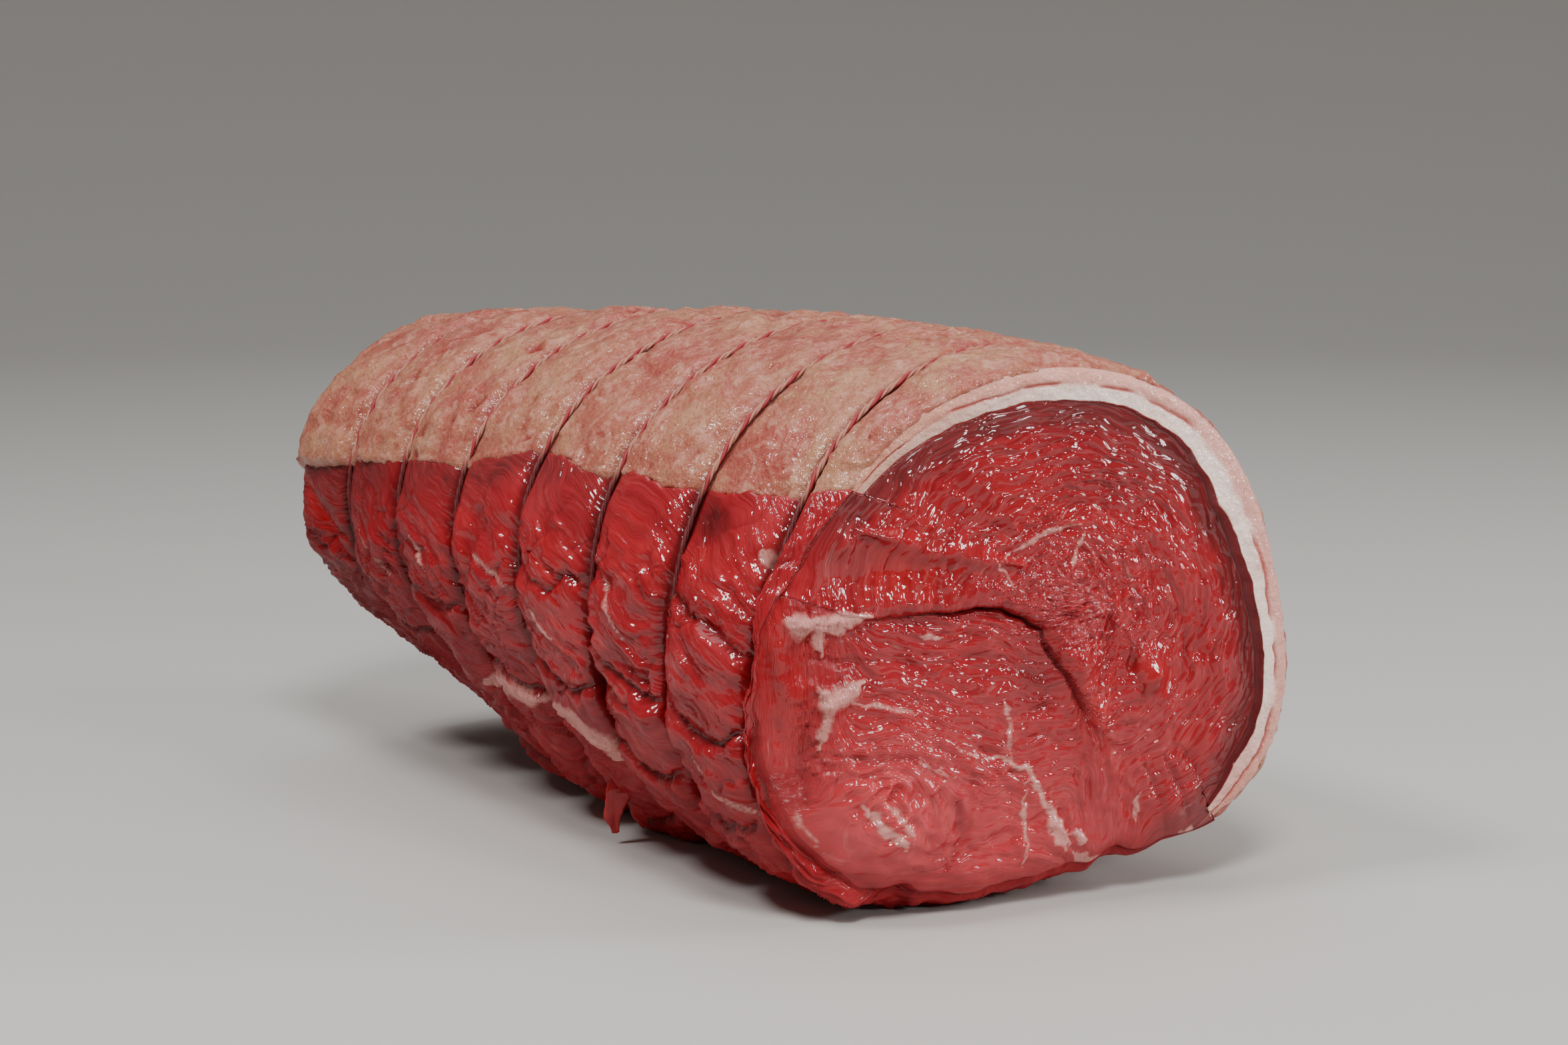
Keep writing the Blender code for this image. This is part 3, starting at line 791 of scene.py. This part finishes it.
# Two prongs of the loose scrap that hangs from the lower left edge: route and half widths
SCRAP_PRONGS = (
    (
        ((-106, -36, 25), (-110, -46, 20), (-112, -50.5, 15), (-112.5, -52, 8.5), (-112, -51, 2.6)),
        (6.5, 5.2, 3.9, 2.3, 1.0),
    ),
    (
        ((-104, -38, 20), (-107, -44, 14), (-110, -45, 9), (-111.5, -43, 5.5), (-112, -41, 3)),
        (5.0, 3.6, 2.3, 1.6, 0.9),
    ),
)
# Direction of the scrap's broad side
SCRAP_ACROSS = (0.617, 0.787, 0.0)


def scrap(index, finish):
    """One prong of the scrap: a thin tapered flap."""
    route, widths = SCRAP_PRONGS[index]
    steps = np.linspace(0, 1, len(route))
    share = np.linspace(0, 1, SCRAP_ROWS)
    weights = np.hanning(9) / np.hanning(9).sum()
    padded = np.concatenate((np.full(4, 0.0), share, np.full(4, 1.0)))
    centre = [np.convolve(np.interp(padded, steps, part), weights, "valid") for part in zip(*route)]
    centre = np.stack(centre, -1)
    run = np.gradient(centre, axis=0)
    run /= np.linalg.norm(run, axis=1)[:, None]
    thick = np.cross(run, SCRAP_ACROSS)
    side = np.cross(thick, run)
    turn = np.linspace(0, 2 * math.pi, SCRAP_ROUND, endpoint=False)[:, None]
    ring = side[:, None] * np.cos(turn) + thick[:, None] * (0.42 * np.sin(turn) + 0.16 * np.cos(2 * turn))
    points = centre[:, None] + ring * np.interp(share, steps, widths)[:, None, None]
    grain = points[..., (0, 2, 1)]
    relief = layered(points, 7, 81 + index) + 0.3 * ridged(grain, (2.0, 9, 9), 83)
    points = points + ring * relief[..., None]
    points[0], points[-1] = centre[0], centre[-1]
    marks = lean_marks(grain, fresh=1, pink=0.15, wet=0.7)
    finished(closed_grid(f"scrap_{index + 1}", points, marks), finish, "lean")


# Looks of the fat

# Points across the fat cap, rows along it and round its far edge, and rows across its near and far cut
FAT_NEAR_COUNTS = (250, 40, 16, 1)
FAT_REST_COUNTS = (200, (178, 9), 1, 8)


def fat_section(back, count):
    """Rows of points round the outside, left edge, inside and right edge of the fat cap, and their rise."""
    share = np.linspace(0, 1, count)
    outer, angle, rise = fat_layer(back, share, False)
    inner, _, _ = fat_layer(back, share, True)
    step = np.linspace(0, 1, FAT_LIP + 2)[1:-1][:, None]
    edges = []
    for side, way in ((-1, 1), (0, -1)):
        turn = np.radians(angle[:, side])
        round_ = np.stack((0 * turn, -np.sin(turn), np.cos(turn)), -1)
        gap = inner[:, side] - outer[:, side]
        swell = way * FAT_LIP_SWELL * round_ * np.linalg.norm(gap, axis=-1)[:, None]
        edges.append(outer[:, side, None] + gap[:, None] * step + swell[:, None] * np.sin(math.pi * step))
    left, right = edges
    points = np.concatenate((outer, left, inner[:, ::-1], right[:, ::-1]), axis=1)
    lip_rises = [np.repeat(rise[:, side, None], FAT_LIP, 1) for side in (-1, 0)]
    return points, np.concatenate((rise, lip_rises[0], rise[:, ::-1], lip_rises[1]), axis=1)


def skin_relief(points, rise, from_edge, cut):
    """Relief of the fat's outside in millimetres, with its pits and its reddish hollows."""
    slanted = points @ np.array(((0.8, 0.6, 0), (-0.6, 0.8, 0), (0, 0, 1)))
    warped = slanted + 3 * np.stack([layered(points, 12, seed) for seed in (61, 62, 63)], -1)
    wrinkle = ridged(warped, (3.0, 8.0, 6), 64) * eased(noise(points, 26, 70), -0.5, 0.4)
    furrows = ridged(warped, (13.0, 8.0, 9), 75) * eased(noise(points, 22, 76), -0.4, 0.3)
    swell = layered(points, 17, 66)
    hollow = np.clip(-0.5 * swell - 0.35 * furrows - 0.15 * wrinkle, 0, 0.45) * (1 - cut)
    pits = eased(layered(points, 7, 65) + 0.35 * noise(points, 30, 69), 0.5, 0.75) * (1 - 0.85 * cut)
    relief = 1.4 * swell + 0.6 * wrinkle + 0.6 * furrows - 1.1 * pits - 0.5
    relief += 0.3 * noise(points, 3.4, 71) + 0.2 * noise(points, 1.9, 67)
    relief = relief * eased(rise, 0.1, 0.7) + 0.55 * bell(rise, 0.6, 0.22)
    lumps = 1.2 * np.clip(noise(points, 9, 98), 0, 1) * np.exp(-from_edge / 6)
    return relief + lumps - 0.75 * rounded_off(from_edge, FAT_ROUND), pits, hollow


def cut_relief(points, depth, thick):
    """Relief of the fat's cut edge in millimetres, and the seam in it."""
    seam_depth = 0.52 + 0.1 * noise(points, 14, 72)
    seam = bell(depth, seam_depth, 0.05) * eased(noise(points, 9, 73), -0.2, 0.3)
    relief = 0.5 * layered(points, 6, 68) + 0.25 * noise(points, 2.0, 74) - 0.6 * seam
    relief = relief * np.minimum(1, 5 * (1 - depth)) - 0.75 * rounded_off(depth * thick, FAT_ROUND)
    return relief, seam


def fat_piece(name, back, count, near_rows, far_rows, finish):
    """A stretch of the fat cap, with rows across its cut at either end."""
    section, section_rise = fat_section(back[:, None], count)
    columns = section.shape[1]
    opposite = np.arange(columns)[::-1] - FAT_LIP
    opposite[-FAT_LIP:] += columns
    near_way = np.linspace(0, 1, near_rows + 1)[:-1, None]
    far_way = np.linspace(1, 0, far_rows + 1)[1:, None]
    near_middle, far_middle = ((section[row] + section[row, opposite]) / 2 for row in (0, -1))
    near_cut = near_middle + (section[0] - near_middle) * near_way[..., None]
    far_cut = far_middle + (section[-1] - far_middle) * far_way[..., None]
    full = np.concatenate((near_cut, section, far_cut))
    between = slice(near_rows, -far_rows)
    row, top = len(back) // 2, count // 2
    normal = outward_of(full)
    normal *= np.sign(normal[near_rows + row, top] @ (section[row, top] - section[row, opposite[top]]))

    share = np.linspace(0, 1, count)
    step = np.linspace(0, 1, FAT_LIP + 2)[1:-1]
    falling = np.linspace(1, 0, FAT_LIP)
    outside = np.concatenate((np.ones(count), falling, np.zeros(count), falling[::-1]))
    round_share = np.concatenate((share, np.ones(FAT_LIP), share[::-1], np.zeros(FAT_LIP)))
    depth = np.tile(np.concatenate((np.zeros(count), step, np.ones(count), step[::-1])), (len(full), 1))
    depth[:near_rows] = 0.5 + (depth[:near_rows] - 0.5) * near_way
    depth[-far_rows:] = 0.5 + (depth[-far_rows:] - 0.5) * far_way
    rise, cut, from_edge = np.ones(depth.shape), np.ones(depth.shape), np.full(depth.shape, FAR_OFF)
    rise[between] = section_rise
    cut[between] = 0
    if near_rows > 1:
        from_edge[between] = np.abs(section[..., 0] - section[:1, :, 0])

    skin, pits, hollow = skin_relief(full, rise, from_edge, cut)
    edge, seam = cut_relief(full, depth, np.interp(round_share, FAT_DEPTH_PLACES, FAT_DEPTHS))
    points = full + normal * np.where(cut > 0, edge, skin * outside)[..., None]
    for row in (0, -1):
        points[row] = (points[row] + points[row, opposite]) / 2
    marks = {
        "cut": cut,
        "layer": depth,
        "pit": np.clip(pits + hollow * outside, 0, 1) * eased(rise, 0.1, 0.7),
        # Painted shade in the loops' grooves, where the fat dips to the twine
        "crack": (1 - eased(rise, 0.05, 0.5)) * outside,
        "edge": np.tile(round_share, (len(full), 1)),
        "seam": seam * cut,
    }
    body = closed_grid(name, points, marks, np.minimum(np.arange(columns), opposite))
    finished(body, finish, "fat_cap")


# Twine

TWINE_RADIUS = 0.75
STRANDS = 3
CREAM_RADIUS = 0.4
CRIMSON_RADIUS = 0.52
STRAND_PITCH = 9.0
STRAND_SIDES = 8
TWINE_POINTS = 900
TWINE_LIFT = 0.3
ALONG_ROLL = np.array((1.0, 0.0, 0.0))


def twine(index, cream, crimson):
    """One loop of three twisted strands in its groove, one of them crimson."""
    x = -NEAR_END - index * TIE_SPACING
    angle = np.linspace(0, 360, TWINE_POINTS, endpoint=False)
    across, up = outline(np.full(TWINE_POINTS, x), angle, 0.0, GROOVE_LIFT)
    seat = np.stack((np.full(TWINE_POINTS, x), across, up), -1)
    run = np.roll(seat, -1, 0) - np.roll(seat, 1, 0)
    length = np.linalg.norm(run, axis=1)
    run /= length[:, None]
    outward = np.stack((np.zeros(TWINE_POINTS), run[:, 2], -run[:, 1]), -1)
    centre = seat + outward * (TWINE_RADIUS + TWINE_LIFT)
    travelled = np.cumsum(length) / 2
    winds = round(travelled[-1] / STRAND_PITCH)
    winding = travelled / travelled[-1] * winds * 2 * math.pi
    left = float(fat_left(np.array([-x]))[0])
    soaked = eased(angle, left - 4, left + 3) * (1 - eased(angle, 356 + FAT_RIGHT, 364 + FAT_RIGHT))
    offset = TWINE_RADIUS - CREAM_RADIUS
    for strand in range(STRANDS):
        wound = (winding + strand * 2 * math.pi / STRANDS)[:, None]
        finish, radius = (crimson, CRIMSON_RADIUS) if strand == 0 else (cream, CREAM_RADIUS)
        path = centre + offset * (outward * np.cos(wound) + ALONG_ROLL * np.sin(wound))
        name = f"twine_{index + 1}_{'abc'[strand]}"
        strand_loop(name, path, radius, soaked, finish, f"twine_{index + 1}")


def strand_loop(name, path, radius, soaked, finish, node):
    """Round strand that follows a closed path, with how soaked it is at each point of the path."""
    shape = bmesh.new()
    count = len(path)
    forward = np.roll(path, -1, 0) - np.roll(path, 1, 0)
    forward /= np.linalg.norm(forward, axis=1)[:, None]
    side = ALONG_ROLL - forward * (forward @ ALONG_ROLL)[:, None]
    side /= np.linalg.norm(side, axis=1)[:, None]
    third = np.cross(forward, side)
    soaked_mark = shape.verts.layers.float.new("soaked")
    bmesh.ops.create_grid(shape, x_segments=count, y_segments=STRAND_SIDES, size=1.0)
    for vertex in shape.verts:
        row = round((vertex.co.x + 1) / 2 * count) % count
        column = round((vertex.co.y + 1) / 2 * STRAND_SIDES) % STRAND_SIDES
        turn = 2 * math.pi * column / STRAND_SIDES
        point = path[row] + radius * (math.cos(turn) * side[row] + math.sin(turn) * third[row])
        vertex.co = (point + PLACE) * MM
        vertex[soaked_mark] = soaked[row]
    bmesh.ops.remove_doubles(shape, verts=shape.verts, dist=1e-7)
    bmesh.ops.recalc_face_normals(shape, faces=shape.faces)
    mesh = bpy.data.meshes.new(name)
    shape.to_mesh(mesh)
    shape.free()
    mesh.shade_smooth()
    finished(shown(name, mesh), finish, node)


# Finishes


def linear(code):
    """Linear colour from an sRGB hex code."""
    parts = [int(code[place : place + 2], 16) / 255 for place in (1, 3, 5)]
    return (*[part / 12.92 if part <= 0.04045 else ((part + 0.055) / 1.055) ** 2.4 for part in parts], 1.0)


def add(tree, kind, inputs=(), **settings):
    """Adds a shader node with its settings, and its inputs from values or from other nodes' outputs."""
    made = tree.nodes.new("ShaderNode" + kind)
    for setting, value in settings.items():
        setattr(made, setting, value)
    for socket, value in dict(inputs).items():
        if isinstance(value, bpy.types.NodeSocket):
            tree.links.new(value, made.inputs[socket])
        else:
            made.inputs[socket].default_value = value
    return made


def new_finish(name):
    """Empty material and its node tree."""
    finish = bpy.data.materials.new(name)
    finish.use_nodes = True
    finish.node_tree.nodes.clear()
    return finish, finish.node_tree


# Sockets of a colour mix
FACTOR, FIRST, SECOND, MIXED = 0, 6, 7, 2
# What a texture's three numbers set
TEXTURE = ("Detail", "Roughness", "Distortion")


def raw_lean():
    """Raw beef, freshly cut: wet fibres with pale threads between them, and dark red painted shade in the
    folds.
    """
    finish, tree = new_finish("raw_lean_beef")
    place = add(tree, "TexCoord").outputs["Object"]
    grain = add(tree, "Attribute", attribute_name="grain").outputs["Vector"]
    seen = {"slant": add(tree, "LayerWeight", {"Blend": 0.5}).outputs["Facing"]}
    for mark in LEAN_MARKS:
        seen[mark] = add(tree, "Attribute", attribute_name=mark).outputs["Fac"]
    # patterns that follow the fibres: size across and along them in millimetres, and texture
    along_fibres = {
        "fibres": (0.8, 9, (3.0, 0.6, 0.0)),
        "threads": (1.5, 12, (4.0, 0.65, 0.4)),
        "bands": (3.5, 26, (2.0, 0.5, 0.3)),
        "bundles": (1.7, 6, (1.0, 0.5, 0.0)),
        "film": (1.3, 2.8, (1.0, 0.5, 0.0)),
    }
    for name, (wide, long, texture) in along_fibres.items():
        sizes = (1 / wide, 1 / long, 0.05)
        stretched = add(tree, "VectorMath", {0: grain, 1: sizes}, operation="MULTIPLY").outputs[0]
        inputs = {"Vector": stretched, "Scale": 1.0, **dict(zip(TEXTURE, texture))}
        seen[name] = add(tree, "TexNoise", inputs).outputs["Fac"]
    # patterns that lie where they lie: size in millimetres and texture
    for name, size, texture in (("patches", 14, (4.0, 0.5, 0.0)), ("beads", 1.1, (2.0, 0.5, 0.0))):
        inputs = {"Vector": place, "Scale": 1 / (size * MM), **dict(zip(TEXTURE, texture))}
        seen[name] = add(tree, "TexNoise", inputs).outputs["Fac"]
    broken = add(tree, "Math", {0: seen["pale"], 1: seen["beads"]}, operation="MULTIPLY")
    seen["broken"] = broken.outputs[0]
    # what each level is drawn from, its low and high value there, and what they turn to
    levels = {
        "bundles_dark": ("bands", 0.45, 0.65, 0.0, 0.45),
        "fibres_pale": ("fibres", 0.35, 0.7, 0.0, 0.42),
        "threads_pale": ("threads", 0.61, 0.8, 0.0, 0.42),
        "facing": ("slant", 0.35, 0.75, 1.0, 0.15),
        "gristle": ("broken", 0.08, 0.42, 0.0, 0.88),
        "roughness": ("patches", 0.3, 0.7, 0.42, 0.26),
    }
    for name, (source, *ends) in levels.items():
        inputs = {0: seen[source], **dict(enumerate(ends, 1))}
        seen[name] = add(tree, "MapRange", inputs).outputs[0]
    for name, factors in (("threads_seen", ("threads_pale", "thread")), ("shine", ("wet", "facing"))):
        inputs = {0: seen[factors[0]], 1: seen[factors[1]]}
        seen[name] = add(tree, "Math", inputs, operation="MULTIPLY").outputs[0]
    layers = (
        ("patches", "#a01c26"),
        ("fresh", "#a61018"),
        ("bundles_dark", "#690a11"),
        ("pink", "#cd444a"),
        # Brown band along the fat's edge, with a painted shadow below the seam
        ("brown", "#5c2122"),
        ("fibres_pale", "#b4393e"),
        ("threads_seen", "#d79a93"),
        ("gristle", "#d5938a"),
        # Dark red painted shade in the folds, creases, grooves, the seam's crack and towards the far end
        ("crack", "#48080b"),
    )
    colour = linear("#7c0a13")
    for share, code in layers:
        inputs = {FACTOR: seen[share], FIRST: colour, SECOND: linear(code)}
        colour = add(tree, "Mix", inputs, data_type="RGBA").outputs[MIXED]
    fine = add(tree, "Bump", {"Strength": 0.6, "Distance": 0.6 * MM, "Height": seen["fibres"]})
    # the wet film lies smoothly over bundles of fibres
    over = add(tree, "Bump", {"Strength": 1.0, "Distance": 0.6 * MM, "Height": seen["bundles"]})
    film = {"Strength": 1.0, "Distance": 0.4 * MM, "Height": seen["film"], "Normal": over.outputs[0]}
    inputs = {
        "Base Color": colour,
        "Roughness": seen["roughness"],
        "IOR": 1.4,
        "Specular IOR Level": 0.06,
        "Subsurface Weight": 0.12,
        "Subsurface Radius": (1.0, 0.25, 0.2),
        "Subsurface Scale": 2.5 * MM,
        "Coat Weight": seen["shine"],
        "Coat Roughness": 0.08,
        "Coat IOR": 1.5,
        "Normal": fine.outputs[0],
        "Coat Normal": add(tree, "Bump", film).outputs[0],
    }
    shader = add(tree, "BsdfPrincipled", inputs)
    add(tree, "OutputMaterial", {"Surface": shader.outputs[0]})
    return finish


def raw_fat():
    """Beef fat with a thin skin: pale cream and pink, finely wrinkled, with small red-brown pits."""
    finish, tree = new_finish("raw_beef_fat")
    place = add(tree, "TexCoord").outputs["Object"]
    seen = {}
    for mark in ("cut", "layer", "edge", "pit", "crack", "seam"):
        seen[mark] = add(tree, "Attribute", attribute_name=mark).outputs["Fac"]
    # size in millimetres and texture
    patterns = {
        "patches": (20, (5.0, 0.6, 0.0)),
        "blotches": (11, (4.0, 0.65, 0.6)),
        "mottling": (5, (4.0, 0.6, 0.9)),
        "veins": (9, (4.0, 0.55, 0.8)),
        "fine": (1.6, (4.0, 0.6, 0.0)),
        "film": (1.5, (1.0, 0.5, 0.0)),
    }
    for name, (size, texture) in patterns.items():
        inputs = {"Vector": place, "Scale": 1 / (size * MM), **dict(zip(TEXTURE, texture))}
        seen[name] = add(tree, "TexNoise", inputs).outputs["Fac"]
    # a vein runs where its noise crosses the middle
    crossing = add(tree, "Math", {0: seen["veins"], 1: 0.5}, operation="SUBTRACT").outputs[0]
    seen["crossing"] = add(tree, "Math", {0: crossing}, operation="ABSOLUTE").outputs[0]
    # what each level is drawn from, its low and high value there, and what they turn to
    levels = {
        "reddened": ("patches", 0.38, 0.62, 0.0, 1.0),
        "stained": ("blotches", 0.48, 0.68, 0.0, 0.85),
        "cut_stained": ("blotches", 0.48, 0.68, 0.0, 0.425),
        "mottled": ("mottling", 0.48, 0.66, 0.0, 0.6),
        "veined": ("crossing", 0.016, 0.0, 0.0, 0.7),
        "grainy": ("fine", 0.35, 0.7, 0.0, 0.18),
        "inner": ("layer", 0.45, 0.62, 0.0, 1.0),
        "left_tip": ("edge", 0.7, 0.95, 0.0, 0.75),
        "right_tip": ("edge", 0.16, 0.04, 0.0, 0.6),
        "roughness": ("blotches", 0.3, 0.7, 0.62, 0.42),
    }
    for name, (source, *ends) in levels.items():
        inputs = {0: seen[source], **dict(enumerate(ends, 1))}
        seen[name] = add(tree, "MapRange", inputs).outputs[0]
    colours = {"skin": linear("#ab7656"), "cut edge": linear("#dfa092")}
    layers = (
        ("skin", "reddened", "#a04239"),
        ("skin", "stained", "#983d33"),
        ("skin", "mottled", "#c9957f"),
        ("skin", "veined", "#9a3a34"),
        ("skin", "grainy", "#c99a7e"),
        ("cut edge", "inner", "#f8dcd1"),
        ("cut edge", "cut_stained", "#cb7d6e"),
        ("cut edge", "left_tip", "#c47f62"),
        ("cut edge", "right_tip", "#d78877"),
        ("skin", "cut", "cut edge"),
        ("skin", "seam", "#b0453d"),
        ("skin", "pit", "#8a2a22"),
        # Painted shade in the loops' grooves
        ("skin", "crack", "#83382f"),
    )
    for under, share, over in layers:
        inputs = {FACTOR: seen[share], FIRST: colours[under], SECOND: colours.get(over) or linear(over)}
        colours[under] = add(tree, "Mix", inputs, data_type="RGBA").outputs[MIXED]
    bump = add(tree, "Bump", {"Strength": 1.0, "Distance": 1.0 * MM, "Height": seen["fine"]})
    wet = add(tree, "Bump", {"Strength": 1.0, "Distance": 0.75 * MM, "Height": seen["film"]})
    inputs = {
        "Base Color": colours["skin"],
        "Roughness": seen["roughness"],
        "IOR": 1.46,
        "Specular IOR Level": 0.3,
        "Subsurface Weight": 0.15,
        "Subsurface Radius": (1.0, 0.5, 0.35),
        "Subsurface Scale": 2.5 * MM,
        "Coat Weight": 0.55,
        "Coat Roughness": 0.1,
        "Normal": bump.outputs[0],
        "Coat Normal": wet.outputs[0],
    }
    shader = add(tree, "BsdfPrincipled", inputs)
    add(tree, "OutputMaterial", {"Surface": shader.outputs[0]})
    return finish


def cotton(name, colour):
    """Butcher's cotton twine, damp: matt, with fine fibres, and dark where the meat's juice has soaked it."""
    finish, tree = new_finish(name)
    place = add(tree, "TexCoord").outputs["Object"]
    inputs = {"Vector": place, "Scale": 1 / (0.4 * MM), "Detail": 3.0}
    fibres = add(tree, "TexNoise", inputs).outputs["Fac"]
    soaked = add(tree, "Attribute", attribute_name="soaked").outputs["Fac"]
    stain = add(tree, "MapRange", {0: fibres, 1: 0.3, 2: 0.7, 3: 0.0, 4: 0.4}).outputs[0]
    mixed = linear(colour)
    for share, code in ((stain, "#8c3a34"), (soaked, "#5c1013")):
        inputs = {FACTOR: share, FIRST: mixed, SECOND: linear(code)}
        mixed = add(tree, "Mix", inputs, data_type="RGBA").outputs[MIXED]
    bump = add(tree, "Bump", {"Strength": 0.5, "Distance": 0.2 * MM, "Height": fibres})
    inputs = {"Base Color": mixed, "Roughness": 0.6, "Normal": bump.outputs[0]}
    shader = add(tree, "BsdfPrincipled", inputs)
    add(tree, "OutputMaterial", {"Surface": shader.outputs[0]})
    return finish


def floor_finish():
    """Plain pale matt floor."""
    finish, tree = new_finish("pale_floor")
    shader = add(tree, "BsdfPrincipled", {"Base Color": linear("#bcb9b5"), "Roughness": 0.7})
    add(tree, "OutputMaterial", {"Surface": shader.outputs[0]})
    return finish


# Studio

VIEW_AZIMUTH = 51.93
VIEW_ELEVATION = 8.74
CAMERA_PLACE = (0.5946, -0.4506, 0.1961)
LENS = 62.41
FLOOR_FLAT = 1.5
FLOOR_BEND = 1.5
WALL_TOP = 3.2
LIGHTS_AIM = (0.0, 0.0, 0.07)
# Name, place, size and power
LIGHTS = (
    ("key", (0.62, -0.4, 1.0), 0.28, 10.0),
    ("side", (-0.1, -0.65, 1.0), 0.22, 7.0),
    ("front", (1.15, 0.08, 0.5), 0.16, 3.5),
    ("right", (0.7, 0.85, 0.45), 0.3, 6.5),
    ("overhead", (-0.5, 0.4, 2.1), 1.8, 18.0),
)


def make_floor():
    """Floor under the joint that curves up all round it."""
    shape = bmesh.new()
    profile = [(0.0, 0.0)]
    for step in range(13):
        turn = math.radians(step * 7.5)
        profile.append((FLOOR_FLAT + FLOOR_BEND * math.sin(turn), FLOOR_BEND * (1 - math.cos(turn))))
    profile.append((FLOOR_FLAT + FLOOR_BEND, WALL_TOP))
    corners = [shape.verts.new((radius, 0.0, height)) for radius, height in profile]
    runs = [shape.edges.new(pair) for pair in zip(corners, corners[1:])]
    full = {"cent": (0, 0, 0), "axis": (0, 0, 1), "angle": 2 * math.pi, "steps": 96, "use_merge": True}
    bmesh.ops.spin(shape, geom=corners + runs, **full)
    bmesh.ops.remove_doubles(shape, verts=shape.verts, dist=1e-6)
    bmesh.ops.recalc_face_normals(shape, faces=shape.faces)
    mesh = bpy.data.meshes.new("floor")
    shape.to_mesh(mesh)
    shape.free()
    mesh.shade_smooth()
    mesh.materials.append(floor_finish())
    floor = shown("floor", mesh)


def make_light(name, place, aim, size, power):
    """Soft square light that faces a point."""
    lamp = bpy.data.lights.new(name, "AREA")
    lamp.size = size
    lamp.energy = power
    light = shown(name, lamp)
    light.location = place
    light.rotation_euler = (Vector(aim) - Vector(place)).to_track_quat("-Z", "Y").to_euler()


def make_camera():
    """Camera at the photograph's view."""
    azimuth, elevation = math.radians(VIEW_AZIMUTH), math.radians(VIEW_ELEVATION)
    level = Vector((math.sin(azimuth), -math.cos(azimuth), 0.0))
    back = level * math.cos(elevation) + Vector((0.0, 0.0, math.sin(elevation)))
    right = Vector((math.cos(azimuth), math.sin(azimuth), 0.0))
    up = back.cross(right)
    lens = bpy.data.cameras.new("camera")
    lens.lens = LENS
    lens.sensor_width = 36.0
    camera = shown("camera", lens)
    camera.matrix_world = Matrix.Translation(CAMERA_PLACE) @ Matrix((right, up, back)).transposed().to_4x4()
    bpy.context.scene.camera = camera


def make_studio():
    """Soft lights and a pale surround."""
    for name, place, size, power in LIGHTS:
        make_light(name, place, LIGHTS_AIM, size, power)
    world = bpy.data.worlds.new("studio")
    world.use_nodes = True
    background = world.node_tree.nodes["Background"].inputs
    background[0].default_value = linear("#e9e8e6")
    background[1].default_value = 0.16
    bpy.context.scene.world = world


def main():
    """Builds every piece, the floor and the studio."""
    lean, fat = raw_lean(), raw_fat()
    lean_near(lean)
    lean_rest(lean)
    for index in range(len(SCRAP_PRONGS)):
        scrap(index, lean)
    count, rows, *cut_rows = FAT_NEAR_COUNTS
    fat_piece("fat_near", np.linspace(0, NEAR_END - JOIN_GAP, rows), count, *cut_rows, fat)
    count, rows, *cut_rows = FAT_REST_COUNTS
    fat_piece("fat_rest", to_far_end(*rows), count, *cut_rows, fat)
    cream = cotton("damp_cream_cotton", "#b67d68")
    crimson = cotton("damp_crimson_cotton", "#960f22")
    for index in range(TIE_COUNT):
        twine(index, cream, crimson)
    make_floor()
    make_camera()
    make_studio()


main()
